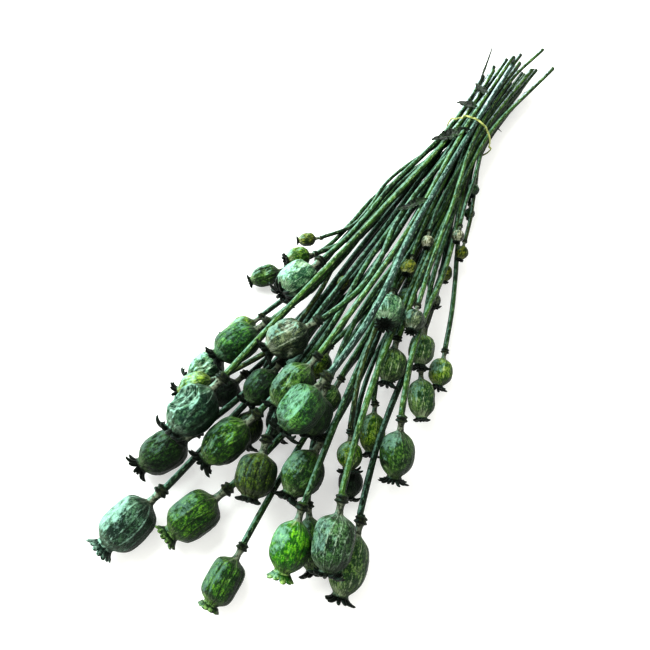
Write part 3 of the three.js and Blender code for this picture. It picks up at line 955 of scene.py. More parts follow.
    def rubber(self) -> bpy.types.Material:
        """Pale yellow-green rubber, a little chalky, with fine stretch marks across the strand.

        Returns:
            The material.
        """
        material, w = new_material("pale_green_rubber")
        place, surface = w.places()
        marks = w.noise(w.stretched(surface, (500.0, 2600.0, 1.0)), 1.0, 2.0)
        dust = w.noise(place, 260.0, 3.0)
        colour = w.mix(w.ramp(dust, 0.4, 0.62), srgb(122, 132, 64), srgb(186, 192, 120))
        colour = w.mix(w.ramp(marks, 0.55, 0.7, 0.5), colour, srgb(88, 100, 44))
        w.surface(colour, w.ramp(dust, 0.3, 0.7, 0.75), marks, self.RUBBER_RELIEF)
        return material

    def leaf(self) -> bpy.types.Material:
        """Withered dyed leaf: dark crumpled green with paler veins and dry edges.

        Returns:
            The material.
        """
        material, w = new_material("withered_leaf")
        place, surface = w.places()
        vein, fold, _, edge = w.parts("form")
        dye = w.use(self.mottle, place=place, along=surface, dark=srgb(5, 16, 9), middle=srgb(15, 36, 18),
                    light=srgb(38, 66, 32), lightness=0.3)
        film = w.use(self.film, along=surface, place=place, amount=w.times(edge, 0.5))["Mask"]
        colour = w.mix(w.ramp(vein, 0.5, 1.0, 0.7), dye["Colour"], srgb(58, 88, 48))
        colour = w.mix(film, colour, srgb(84, 108, 76))
        height = w.blend(fold, 0.5, dye["Tone"])
        w.surface(colour, w.ramp(w.plus(film, 0.6), 0.0, 1.6, 1.0), height, self.LEAF_RELIEF)
        return material


# ---- What each head is like ----


class Facing(Enum):
    """Which way a dent faces, in the model's frame."""

    TOP = (0.0, 0.0, 1.0)
    TOP_LEFT = (-0.99, -0.32, 1.78)
    HIGH_LEFT = (-0.76, -0.1, 0.86)
    LEFT = (-0.61, -0.9, 0.9)
    BACK = (-0.26, 0.4, 1.33)
    RIGHT = (1.07, 0.19, 0.9)
    FRONT = (0.72, -1.1, 0.5)


@dataclass(frozen=True)
class Dent:
    """A place where the drying capsule sank in.

    At is its share of the way from neck to crown; wide and deep are shares of half the width; crumple is
    how creased its floor is.
    """

    facing: Facing
    at: float
    wide: float
    deep: float
    crumple: float = 0.1


@dataclass(frozen=True)
class Facet:
    """A side where the drying capsule fell in flat.

    Keep is how far out the flat lies and sink how far its middle is drawn in, in half-widths.
    """

    facing: Facing
    keep: float
    sink: float = 0.1


@dataclass(frozen=True)
class CrownShape:
    """How a crown's lobes look.

    Reach is the crown's half-width and lobe the length of a lobe, both shares of the capsule's
    half-width; plump is a lobe's width as a share of its room, and thick its thickness as a share of its
    width; lift turns the lobes forwards at their start, and curl turns their tips back, in radians;
    uneven is how much they differ. A dyed crown is as green as its capsule, and any other is nearly
    black.
    """

    reach: float
    lobe: float
    plump: float
    lift: float
    curl: float
    uneven: float
    thick: float = 0.8
    dyed: bool = False


class Crown(Enum):
    """The kinds of crown in the bunch."""

    TRUMPET = CrownShape(0.74, 0.34, 0.95, 0.85, -0.3, 0.4, 0.4, True)
    DISC = CrownShape(0.68, 0.24, 1.2, 0.7, -0.4, 0.3, 0.4, True)
    FINGERS = CrownShape(0.76, 0.46, 0.6, 0.7, 0.2, 0.6)
    CLAWS = CrownShape(0.8, 0.56, 0.58, 0.4, 1.0, 0.8)
    ROSETTE = CrownShape(0.62, 0.32, 0.74, 0.5, 0.2, 0.5)


@dataclass(frozen=True)
class HeadLook:
    """One stalk's look.

    Ridge is how high its ribs stand, less than 0 where they are grooves; lumps and creases are how
    uneven the skin is; boxy runs from 0, an egg, to 1, a barrel. All heights are shares of half the
    capsule's width, and twist is how far the ribs turn from neck to crown, in radians.
    """

    skin: Skin
    crown: Crown = Crown.FINGERS
    stem: Stem = Stem.GREEN
    ribs: int = 11
    ridge: float = 0.025
    boxy: float = 0.5
    lumps: float = 0.06
    creases: float = 0.03
    twist: float = 0.1
    dents: tuple[Dent, ...] = ()
    facet: Facet | None = None


LOOKS: tuple[HeadLook, ...] = (
    HeadLook(Skin.MINT, Crown.TRUMPET, Stem.DARK, 13, 0.018, 0.9, 0.05, 0.02, 0.2),
    HeadLook(Skin.BRIGHT, Crown.TRUMPET, Stem.GREEN, 12, 0.028, 0.8, 0.05, 0.01, 0.2),
    HeadLook(Skin.BRIGHT, Crown.DISC, Stem.GREEN, 9, -0.06, 1.0, 0.05, 0.02, 0.05),
    HeadLook(Skin.LIME, Crown.TRUMPET, Stem.GREEN, 10, -0.035, 0.35, 0.09, 0.04, 0.3),
    HeadLook(Skin.GREY_BLOOM, Crown.CLAWS, Stem.BRIGHT, 14, 0.03, 0.75, 0.05, 0.02, 0.05),
    HeadLook(Skin.SAGE, Crown.FINGERS, Stem.DARK, 12, -0.03, 0.3, 0.06, 0.02),
    HeadLook(Skin.FERN, Crown.FINGERS, Stem.DARK, 10, -0.03, 0.2),
    HeadLook(Skin.FERN, Crown.FINGERS, Stem.DARK, 12, 0.02, 0.3, 0.06, 0.03, 0.2),
    HeadLook(Skin.OLIVE, Crown.ROSETTE, Stem.DARK, 10, -0.09, 0.7, 0.03, 0.01, 0.05),
    HeadLook(Skin.BOTTLE, Crown.FINGERS, Stem.DARK, 13, 0.02, 0.6, 0.05, 0.02, 0.2,
             (Dent(Facing.TOP_LEFT, 0.45, 0.5, 0.12),)),
    HeadLook(Skin.BRIGHT, Crown.FINGERS, Stem.GREEN, 11, 0.02, 0.5, 0.08, 0.04, 0.3,
             (Dent(Facing.TOP, 0.35, 0.4, 0.12), Dent(Facing.LEFT, 0.65, 0.4, 0.1))),
    HeadLook(Skin.TEAL, Crown.CLAWS, Stem.BRIGHT, 11, 0.02, 0.35, 0.1, 0.05, 0.3,
             (Dent(Facing.TOP_LEFT, 0.42, 0.55, 0.5, 0.3), Dent(Facing.LEFT, 0.7, 0.32, 0.2, 0.2))),
    HeadLook(Skin.BOTTLE, Crown.CLAWS, Stem.GREEN, 12, 0.025, 0.5, 0.05, 0.03),
    HeadLook(Skin.SPRING, Crown.CLAWS, Stem.OLIVE, 10, 0.015, 0.1, 0.07, 0.05),
    HeadLook(Skin.BLACKISH, Crown.CLAWS, Stem.DARK, 10, 0.02, 0.2),
    HeadLook(Skin.FERN, Crown.FINGERS, Stem.BRIGHT, 14, 0.015, 0.3, 0.05, 0.025, 0.1,
             (Dent(Facing.LEFT, 0.75, 0.35, 0.15),)),
    HeadLook(Skin.SPRING, Crown.FINGERS, Stem.GREEN, 11, 0.025, 0.4, 0.07, 0.05, 0.1),
    HeadLook(Skin.SPRING, Crown.FINGERS, Stem.OLIVE, 10, 0.02, 0.4, 0.06, 0.04),
    HeadLook(Skin.CELADON, Crown.CLAWS, Stem.DARK, 11, -0.05, 0.4, 0.09, 0.07, 0.1,
             (Dent(Facing.TOP, 0.5, 0.45, 0.2),)),
    HeadLook(Skin.SUNKEN_MINT, Crown.FINGERS, Stem.GREEN, 11, -0.05, 0.8, 0.06, 0.02, 0.1,
             (Dent(Facing.BACK, 0.2, 0.4, 0.1),)),
    HeadLook(Skin.SPRING, Crown.FINGERS, Stem.DARK, 10, 0.02, 0.4),
    HeadLook(Skin.BROWN_GREY, Crown.FINGERS, Stem.GREEN, 11, 0.015, 0.55, 0.1, 0.07, 0.2,
             (Dent(Facing.TOP_LEFT, 0.35, 0.4, 0.12), Dent(Facing.FRONT, 0.6, 0.35, 0.12))),
    HeadLook(Skin.BOTTLE, Crown.CLAWS, Stem.DARK, 11, 0.02, 0.4, 0.04, 0.02),
    HeadLook(Skin.FERN, Crown.FINGERS, Stem.BRIGHT, 11, 0.02, 0.55, 0.09, 0.05, 0.1,
             (Dent(Facing.TOP, 0.45, 0.4, 0.14), Dent(Facing.RIGHT, 0.6, 0.3, 0.08))),
    HeadLook(Skin.TEAL, Crown.FINGERS, Stem.GREEN, 11, 0.02, 0.5, 0.08, 0.05),
    HeadLook(Skin.SPRING, Crown.FINGERS, Stem.GREEN, 11, 0.02, 0.4),
    HeadLook(Skin.SUNKEN_MINT, Crown.CLAWS, Stem.BLUISH, 12, 0.015, 0.6, 0.05, 0.03, 0.05,
             facet=Facet(Facing.HIGH_LEFT, 0.6, 0.14)),
    HeadLook(Skin.SAGE, Crown.FINGERS, Stem.GREEN, 11, 0.02, 0.3, 0.06, 0.05),
    HeadLook(Skin.OLIVE, Crown.FINGERS, Stem.DARK, 11, -0.03, 0.3),
    HeadLook(Skin.BLACKISH, Crown.FINGERS, Stem.DARK, 11, 0.02, 0.4),
    HeadLook(Skin.BLACKISH, Crown.FINGERS, Stem.DARK, 11, 0.02, 0.4),
    HeadLook(Skin.CELADON, Crown.CLAWS, Stem.GREEN, 13, 0.02, 0.9, 0.05, 0.04, 0.1,
             (Dent(Facing.BACK, 0.25, 0.3, 0.08),)),
    HeadLook(Skin.FERN, Crown.ROSETTE, Stem.GREEN, 10, -0.05, 0.4, 0.08, 0.04, 0.1,
             (Dent(Facing.TOP, 0.4, 0.4, 0.12),)),
    HeadLook(Skin.SPRING, Crown.ROSETTE, Stem.GREEN, 10, 0.02, 0.6, 0.1, 0.08),
    HeadLook(Skin.YELLOW, Crown.ROSETTE, Stem.GREEN, 9, 0.02, 0.4, 0.08, 0.06),
    HeadLook(Skin.YELLOW, Crown.ROSETTE, Stem.OLIVE, 9, 0.02, 0.3, 0.08, 0.08),
    HeadLook(Skin.CELADON, Crown.ROSETTE, Stem.GREEN, 12, 0.015, 0.5, 0.06, 0.05),
    HeadLook(Skin.YELLOW, Crown.ROSETTE, Stem.BRIGHT, 9, 0.03, 0.2, 0.1, 0.08),
    HeadLook(Skin.SPRING, Crown.ROSETTE, Stem.GREEN, 10, 0.03, 0.2, 0.05, 0.03),
    HeadLook(Skin.BROWN_GREY, Crown.ROSETTE, Stem.BRIGHT, 11, 0.03, 0.1, 0.07, 0.06),
    HeadLook(Skin.PALE, Crown.ROSETTE, Stem.GREEN, 9, 0.03, 0.1, 0.08, 0.08),
    HeadLook(Skin.PALE, Crown.ROSETTE, Stem.GREEN, 9, 0.03, 0.1, 0.05, 0.05),
    HeadLook(Skin.YELLOW, Crown.ROSETTE, Stem.OLIVE, 9, 0.03, 0.1, 0.08, 0.08),
    HeadLook(Skin.YELLOW, Crown.ROSETTE, Stem.GREEN, 9, 0.03, 0.1, 0.06, 0.05),
    HeadLook(Skin.GREY_BLOOM, Crown.ROSETTE, Stem.GREEN, 8, 0.04, 0.1, 0.05, 0.05),
    HeadLook(Skin.BOTTLE, Crown.ROSETTE, Stem.DARK, 8, 0.04, 0.1, 0.05, 0.05),
    HeadLook(Skin.SAGE, Crown.FINGERS, Stem.BRIGHT, 11, 0.02, 0.3, 0.05, 0.03),
    HeadLook(Skin.BOTTLE, Crown.FINGERS, Stem.DARK, 11, -0.04, 0.4),
    HeadLook(Skin.SAGE, Crown.FINGERS, Stem.GREEN, 11, -0.04, 0.6, 0.06, 0.04),
    HeadLook(Skin.SPRING, Crown.FINGERS, Stem.GREEN, 10, 0.02, 0.4, 0.06, 0.04),
    HeadLook(Skin.SAGE, Crown.ROSETTE, Stem.OLIVE, 12, 0.03, 0.45, 0.06, 0.05),
    HeadLook(Skin.BROWN_GREY, Crown.CLAWS, Stem.OLIVE, 9, 0.03, 0.2, 0.06, 0.06),
)


# ---- Stalks ----


@dataclass
class Stalk:
    """One stalk: its stem, receptacle, stipe, capsule and crown, all in one piece as it grew."""

    number: int
    core: Core
    look: HeadLook

    SEED = 700
    STEM_ROUND = 14
    STEM_ALONG = 84
    STEM_SWELL = 1.05
    STEM_TWIST = 6.0
    SCARS = 3
    SCAR_LENGTH = 1.6 * MM
    FULL_WIDTH = 35 * MM
    SMALLEST_RECEPTACLE = 0.42
    BIG = 20 * MM
    BIG_GRID = (132, 104)
    SMALL_GRID = (92, 60)
    RIB_SHARPNESS = 4.5
    RIM_AT = 0.95
    FEWEST_LOBES = 8
    MOST_LOBES = 13
    DISC_ALONG = 22
    DISC_ROUND_PER_LOBE = 6
    LOBE_GRID = (10, 10)
    STUB_GRID = (7, 7)

    # Receptacle and stipe: distance before the neck and radius, in mm at a full-sized head.
    NECKING = np.array([
        (-17.0, 2.3), (-16.0, 2.7), (-15.2, 3.5), (-14.4, 4.9), (-13.7, 5.6), (-13.0, 5.6), (-12.4, 4.9),
        (-11.8, 4.7), (-11.1, 5.2), (-10.2, 6.0), (-9.3, 6.05), (-8.8, 5.2), (-8.4, 4.2), (-7.6, 3.6),
        (-6.0, 3.2), (-4.2, 3.1), (-2.4, 3.2), (-1.0, 3.5),
    ])  # fmt: skip
    # Capsule outlines: share of the length from the neck, and radius as a share of half the width.
    BARREL = np.array([
        (0.0, 0.19), (0.025, 0.26), (0.055, 0.42), (0.09, 0.66), (0.14, 0.86), (0.22, 0.96), (0.36, 1.0),
        (0.56, 1.0), (0.7, 0.965), (0.79, 0.86), (0.85, 0.69), (0.89, 0.51), (0.92, 0.42), (0.95, 0.44),
    ])  # fmt: skip
    EGG = np.array([
        (0.0, 0.19), (0.03, 0.27), (0.07, 0.43), (0.12, 0.6), (0.2, 0.79), (0.31, 0.93), (0.43, 1.0),
        (0.56, 0.985), (0.67, 0.89), (0.76, 0.74), (0.83, 0.59), (0.88, 0.47), (0.915, 0.41), (0.95, 0.44),
    ])  # fmt: skip

    @property
    def size(self) -> float:
        """How big the receptacle is, 1 at a full-sized head."""
        return max(self.core.width / self.FULL_WIDTH, self.SMALLEST_RECEPTACLE)

    @property
    def half_width(self) -> float:
        """Half the capsule's width."""
        return self.core.width / 2

    def head_axes(self) -> tuple[Array, Array]:
        """Two axes across the head: one level, and one leaning up."""
        side = unit(np.cross(self.core.axis, UP))
        return side, np.cross(side, self.core.axis)

    def random(self) -> np.random.Generator:
        """Repeatable chance of this stalk's own."""
        return np.random.default_rng(self.SEED + self.number)

    def build(self, finishes: Finishes) -> bpy.types.Object:
        """Builds the stalk's shells and puts its finish on them.

        Args:
            finishes: Where its material comes from.

        Returns:
            The stalk.
        """
        shells = Shells()
        self.add_stem(shells)
        self.add_head(shells)
        self.add_crown_disc(shells)
        self.add_lobes(shells)
        self.add_stubs(shells)
        material = finishes.stalk(self.look.skin, self.look.stem, self.look.crown.value.dyed)
        return shells.to_object(f"dressed_stalk_{self.number:02d}", material)

    def add_stem(self, shells: Shells) -> None:
        """Adds the stem from its cut end into the receptacle.

        Radius = the core's radius x (1 + ridges + slow swelling + leaf scars), where the ridges are a
        cosine of the angle, and a scar is a narrow bump at a place along the stem.

        Args:
            shells: Where it is added.
        """
        m, n = self.STEM_ALONG, self.STEM_ROUND
        radius = np.append(self.core.stem_radius, self.core.stem_radius[-1])
        line = through(np.column_stack([self.core.stem, radius]), m)
        path, thick = line[:, :3], line[:, 3:] * self.STEM_SWELL
        _, side, upper = frames_along(path)
        run = run_along(path)
        angle = full_turn(n)[None, :] - np.pi / 2
        turn = angle + run * self.STEM_TWIST + self.number
        spot = np.stack([np.cos(angle) + 0 * run, np.sin(angle) + 0 * run, run * 45 + 0 * angle], axis=-1)
        bulge = 0.05 * np.cos(5 * turn) + 0.12 * (noise(spot, self.number) - 0.5)
        for at in self.random().uniform(0.12, 0.8, self.SCARS) * run[-1, 0]:
            scar = np.exp(-(((run - at) / self.SCAR_LENGTH) ** 2))
            bulge = bulge + 0.3 * scar * (0.6 + 0.4 * np.cos(angle - at * 99))
        fade = smoothstep(1.0, 0.97, run / run[-1])
        radii = thick * (1 + bulge * fade)
        rings = path[:, None] + radii[..., None] * spokes(angle, side[:, None], upper[:, None])
        form, zone = plain(rings, along=run / run[-1], stem=1.0)
        uv = np.stack([angle * thick, run + 0 * angle], axis=-1)
        shells.add_tube(rings, form, zone, uv)

    def profile(self, count: int) -> tuple[Array, Array]:
        """The head's outline: the necking, then the outline between egg and barrel.

        Args:
            count: How many places along it.

        Returns:
            Distances from the neck and radii, both in metres and of shape (count,).
        """
        outline = self.EGG + (self.BARREL - self.EGG) * self.look.boxy
        body = outline * (self.core.length, self.half_width)
        body[0, 1] = max(body[0, 1], self.NECKING[-1, 1] * self.size * MM)
        line = through(np.vstack([self.NECKING * self.size * MM, body]), count)
        return line[:, 0], line[:, 1]

    def add_head(self, shells: Shells) -> None:
        """Adds the receptacle, stipe and capsule as one turned shell, then works its surface.

        A rib is exp(k (cos(n angle) - 1)): 1 on the rib and almost 0 between. Ribs and lumps push the
        skin out, grooves and creases pull it in. A dent is a bell-shaped hollow with a raised edge.

        Args:
            shells: Where it is added.
        """
        look = self.look
        m, n = self.BIG_GRID if self.core.width > self.BIG else self.SMALL_GRID
        far, radius = (values[:, None] for values in self.profile(m))
        at = far / self.core.length
        angle = full_turn(n)[None, :] - np.pi / 2
        side, upper = self.head_axes()
        flat = np.stack([np.cos(angle) + 0 * far, np.sin(angle) + 0 * far, 1.6 * at + 0 * angle], axis=-1)
        wander = 0.5 * (noise(flat * 1.3, self.number) - 0.5)
        rib = np.exp(self.RIB_SHARPNESS * (np.cos(look.ribs * (angle + look.twist * at + wander)) - 1.0))
        skin = smoothstep(0.0, 0.1, at) * smoothstep(0.95, 0.87, at)
        strength = 0.55 + 0.9 * noise(flat * 2.1, self.number + 50)
        lift = look.ridge * rib * strength - 0.25 * abs(look.ridge) * (1 - rib)
        lift = lift + look.lumps * 2.8 * (layered_noise(flat * 1.1 + 9, self.number, 2) - 0.5)
        fold = creases(flat * np.array([2.6, 2.6, 1.9]), self.number + 11)
        lift = lift - look.creases * fold * 0.8
        lift = lift + 0.02 * (layered_noise(flat * 9.0, self.number + 5, 2) - 0.5)
        hollow = np.zeros(np.broadcast_shapes(at.shape, angle.shape))
        for dent in look.dents:
            gap, deep = self.dent(dent, flat, at)
            hollow = np.maximum(hollow, gap)
            lift = lift - deep - dent.crumple * gap * (fold - 0.3)
        worked = np.maximum(radius + self.half_width * lift * skin, 0.4 * radius)
        line = self.core.neck + far[..., None] * self.core.axis
        rings = line + worked[..., None] * spokes(angle, side, upper)
        if look.facet:
            rings, flattened = self.flatten(rings, far, fold, look.facet)
            hollow = np.maximum(hollow, flattened)
        mm = far / (self.size * MM)
        receptacle = smoothstep(-15.6, -14.0, mm) * smoothstep(-8.1, -8.8, mm)
        stem = smoothstep(-14.0, -15.6, mm)
        stipe = smoothstep(-8.8, -8.1, mm) * smoothstep(0.05, 0.0, at)
        rays = 0.35 + 0.65 * rib
        pale = rays * smoothstep(0.26, 0.02, at) + 0.8 * np.exp(-(((at - 0.87) / 0.09) ** 2))
        crown = smoothstep(0.915, 0.935, at)
        pale = np.clip(pale, 0, 1) * (at > 0)
        form, zone = plain(
            rings, rib=rib * skin, hollow=hollow, along=np.clip(at, 0, 1), pale=pale, stem=stem,
            receptacle=receptacle, stipe=stipe, crown=0.8 * crown,
        )
        uv = np.stack([angle * self.half_width + 0 * far, far + 0 * angle], axis=-1)
        shells.add_tube(rings, form, zone, uv)

    def flatten(self, rings: Array, far: Array, fold: Array, facet: Facet) -> tuple[Array, Array]:
        """Presses one side flat: what stands beyond a plane is drawn back to it, and a little further.

        The amount beyond is (d + sqrt(d^2 + k^2)) / 2, which rounds the edge of the flat. Its middle is
        hollow, and its creases lie deeper still.

        Args:
            rings: Capsule points, shape (m, n, 3).
            far: Distance from the neck, shape (m, 1).
            fold: How far each point is in a crease, 0 to 1, shape (m, n).
            facet: The flat.

        Returns:
            The pressed points, and how far each lies in the flat, 0 to 1.
        """
        side, upper = self.head_axes()
        facing = np.array(facet.facing.value)
        facing = unit((facing @ side) * side + (facing @ upper) * upper)
        out = (rings - self.core.neck - far[..., None] * self.core.axis) @ facing
        over = out - facet.keep * self.half_width
        beyond = (over + np.sqrt(over**2 + (0.1 * self.half_width) ** 2)) / 2
        within = smoothstep(0.0, 0.4, over / self.half_width)
        creased = 0.12 * fold * smoothstep(0.0, 0.2, within)
        drawn = beyond * 0.9 + (facet.sink * within + creased) * self.half_width
        return rings - drawn[..., None] * facing, smoothstep(-0.04, 0.12, over / self.half_width)

    def dent(self, dent: Dent, flat: Array, at: Array) -> tuple[Array, Array]:
        """Works out one dent.

        Distance is measured over the capsule in half-widths. The hollow is 1 within it and falls off as
        exp(-(distance / wide)^3), its edge is a low ring beyond, and noise wanders both.

        Args:
            dent: The dent.
            flat: Unit cross-section places, shape (m, n, 3).
            at: Share of the length, shape (m, 1).

        Returns:
            How far in the hollow each point is, 0 to 1, and how far it sinks, in half-widths.
        """
        side, upper = self.head_axes()
        facing = np.array(dent.facing.value)
        towards = unit(np.array([facing @ side, facing @ upper]))
        across = np.clip(flat[..., 0] * towards[0] + flat[..., 1] * towards[1], -1.0, 1.0)
        along = (at - dent.at) * self.core.length / self.half_width
        bend = 1.1 * dent.wide * (layered_noise(flat * 1.9 + 3, self.number + 21, 3) - 0.5)
        distance = np.sqrt(np.arccos(across) ** 2 + along**2) + bend
        share = np.abs(distance) / dent.wide
        edge = np.exp(-(((share - 1.3) / 0.28) ** 2))
        hollow = np.exp(-(share**3))
        return hollow, dent.deep * (hollow - 0.2 * edge)

    def rim(self) -> tuple[Array, float]:
        """Where the crown sits: the middle of its disc, and the disc's half-width before the lobes."""
        shape = self.look.crown.value
        middle = self.core.neck + self.core.axis * self.core.length * self.RIM_AT
        return middle, (shape.reach - shape.lobe * 0.75) * self.half_width

    def lobe_angles(self) -> Array:
        """Angles of the crown's lobes, a little unevenly spaced."""
        count = max(self.FEWEST_LOBES, min(self.MOST_LOBES, self.look.ribs))
        step = 2 * np.pi / count
        return np.arange(count) * step + self.random().uniform(-0.14, 0.14, count) * step

    def add_crown_disc(self, shells: Shells) -> None:
        """Adds the stigma disc: a low saucer with a scalloped edge and raised rays.

        The outline is carried from under the disc, round its edge, to its middle; the edge swells by
        the cosine of the lobe number times the angle.

        Args:
            shells: Where it is added.
        """
        middle, half = self.rim()
        shape = self.look.crown.value
        lift = math.sin(shape.lift) * 0.3
        outline = np.array([
            (-0.35, 0.6), (-0.2, 0.68), (-0.09 + lift * 0.4, 0.86), (-0.01 + lift, 1.0), (0.04 + lift, 1.02),
            (0.07 + lift, 0.97), (0.05 + lift * 0.7, 0.7), (0.05, 0.4), (0.09, 0.12),
        ])  # fmt: skip
        line = through(outline, self.DISC_ALONG)
        count = len(self.lobe_angles())
        angle = full_turn(count * self.DISC_ROUND_PER_LOBE)[None, :]
        edge = smoothstep(0.7, 1.0, line[:, 1:])
        wave = 1 + 0.1 * np.cos(count * angle) * edge
        top = smoothstep(-0.02, 0.05, line[:, :1]) * smoothstep(0.1, 0.5, line[:, 1:])
        side, upper = self.head_axes()
        reach = half * line[:, 1:] * wave
        rise = half * (line[:, :1] + 0.07 * top * np.cos(count * angle))
        rings = middle + rise[..., None] * self.core.axis + reach[..., None] * spokes(angle, side, upper)
        form, zone = plain(rings, along=0.35 * edge, crown=1.0)
        uv = np.stack([angle * half + 0 * reach, reach], axis=-1)
        shells.add_tube(rings, form, zone, uv)

    def add_lobes(self, shells: Shells) -> None:
        """Adds the crown's lobes: blunt fingers that leave the disc's edge and curl back.

        A lobe's middle line is the running sum of steps whose direction turns from lift forwards to
        curl backwards. Its section is an oval, broad where it starts and rounded off at the tip.

        Args:
            shells: Where they are added.
        """
        middle, half = self.rim()
        shape, chance = self.look.crown.value, self.random()
        side, upper = self.head_axes()
        angles = self.lobe_angles()
        room = 2 * np.pi * shape.reach * self.half_width / len(angles)
        steps, around = self.LOBE_GRID
        s = np.linspace(0.0, 1.0, steps)
        turn = full_turn(around)
        for angle in angles:
            out = math.cos(angle) * side + math.sin(angle) * upper
            beside = -math.sin(angle) * side + math.cos(angle) * upper
            length = (shape.lobe * 1.25 * (1 + shape.uneven * chance.uniform(-0.45, 0.3))) * self.half_width
            curl = shape.curl * (1 + shape.uneven * chance.uniform(-0.9, 0.6))
            lean = shape.uneven * chance.uniform(-0.5, 0.5)
            pitch = shape.lift - (shape.lift + curl) * s**1.3
            way = np.cos(pitch)[:, None] * out + np.sin(pitch)[:, None] * self.core.axis
            way = unit(way + (lean * s)[:, None] * beside)
            start = middle + out * half * 0.78 + self.core.axis * half * math.sin(shape.lift) * 0.2
            line = start + np.cumsum(way, axis=0) * length / steps
            wide = 0.5 * room * shape.plump * (1.0 - 0.35 * s) * np.sqrt(1 - s**6 * 0.97)
            thick = np.minimum(wide, shape.thick * wide * (1.15 - 0.35 * s) + 0.12 * MM)
            face = unit(np.cross(beside, way))
            broad = (wide[:, None] * np.cos(turn))[..., None] * beside
            deep = (thick[:, None] * np.sin(turn))[..., None] * face[:, None]
            rings = line[:, None] + broad + deep
            form, zone = plain(rings, along=0.3 + 0.7 * s[:, None], crown=1.0)
            uv = np.stack([turn * room * 0.3 + 0 * s[:, None], s[:, None] * length + 0 * turn], axis=-1)
            shells.add_tube(rings, form, zone, uv)

    def add_stubs(self, shells: Shells) -> None:
        """Adds what is left of leaf stalks: small hooked thorns on the stem, near its cut end.

        Args:
            shells: Where they are added.
        """
        chance = self.random()
        line = through(np.column_stack([self.core.stem[:-1], self.core.stem_radius]), 60)
        tangent, side, upper = frames_along(line[:, :3])
        s = np.linspace(0.0, 1.0, self.STUB_GRID[0])[:, None]
        turn = full_turn(self.STUB_GRID[1])
        for _ in range(int(chance.integers(0, 3))):
            k = int(chance.integers(2, 30))
            angle = chance.uniform(0, 2 * np.pi)
            out = math.cos(angle) * side[k] + math.sin(angle) * upper[k]
            beside = np.cross(tangent[k], out)
            length = chance.uniform(2.5, 5.5) * MM
            hook = chance.uniform(-0.5, 0.8)
            middle = line[k, :3] + out * (line[k, 3] * 0.7 + s * length) - tangent[k] * s**2 * hook * length
            thick = (1.0 - 0.72 * s) * chance.uniform(0.6, 0.95) * MM
            rings = middle[:, None] + thick[..., None] * spokes(turn, beside, np.cross(beside, out))
            form, zone = plain(rings, along=s, crown=1.0)
            shells.add_tube(rings, form, zone, np.stack([turn * MM + 0 * s, s * length + 0 * turn], axis=-1))


# ---- The band and the leaves ----


@dataclass
class TieBand:
    """The thin rubber band round the bunch, wound twice."""

    NODE = "tie_band"
    WINDINGS = 2
    STRAND = 0.5 * MM
    APART = 0.55 * MM
    ALONG = 420
    ROUND = 12
    NEAR = 0.09
    PROUD = 0.2 * MM

    def outline(self, angle: Array) -> tuple[Array, Array]:
        """The CAD band's middle line at given angles round the bunch.

        Each value is an average of the node's vertices, weighted by how close they are in angle.

        Args:
            angle: Angles, shape (m,).

        Returns:
            The band's middle, shape (3,), and its distance from there, shape (m,).
        """
        spots, _ = merged_mesh(cad_node(self.NODE))
        middle = (spots.min(axis=0) + spots.max(axis=0)) / 2
        away = spots - middle
        own = np.arctan2(away[:, 2], away[:, 0])
        gap = (angle[:, None] - own + np.pi) % (2 * np.pi) - np.pi
        weight = np.exp(-((gap / self.NEAR) ** 2))
        reach = np.hypot(away[:, 0], away[:, 2])
        return middle, (weight * reach).sum(axis=1) / weight.sum(axis=1)

    def build(self, finishes: Finishes) -> bpy.types.Object:
        """Builds the band: one closed strand whose turns lie side by side and cross once.

        Over all its turns the strand's offset goes once round an oval, so that it closes on itself.

        Args:
            finishes: Where its material comes from.

        Returns:
            The band.
        """
        s = np.linspace(0.0, 1.0, self.ALONG)
        angle = 2 * np.pi * self.WINDINGS * s
        middle, reach = self.outline(angle)
        offset = self.APART * np.cos(2 * np.pi * s)
        reach = reach + 0.5 * self.APART * np.sin(2 * np.pi * s) + self.PROUD
        path = middle + np.stack([np.cos(angle) * reach, offset, np.sin(angle) * reach], axis=1)
        tangent = np.gradient(path, axis=0)
        tangent[[0, -1]] = tangent[0] + tangent[-1]
        tangent = unit(tangent)
        side = unit(np.cross(tangent, (0.0, 1.0, 0.0)))
        upper = np.cross(side, tangent)
        turn = full_turn(self.ROUND)
        run = run_along(path)
        flat = (1 + 0.12 * np.cos(2 * turn))[:, None]
        rings = path[:, None] + self.STRAND * flat * spokes(turn, side[:, None], upper[:, None])
        shells = Shells()
        form, zone = plain(rings, along=s[:, None])
        shells.add_tube(rings, form, zone, np.stack([turn * self.STRAND + 0 * run, run + 0 * turn], axis=-1))
        return shells.to_object("rubber_band", finishes.rubber())


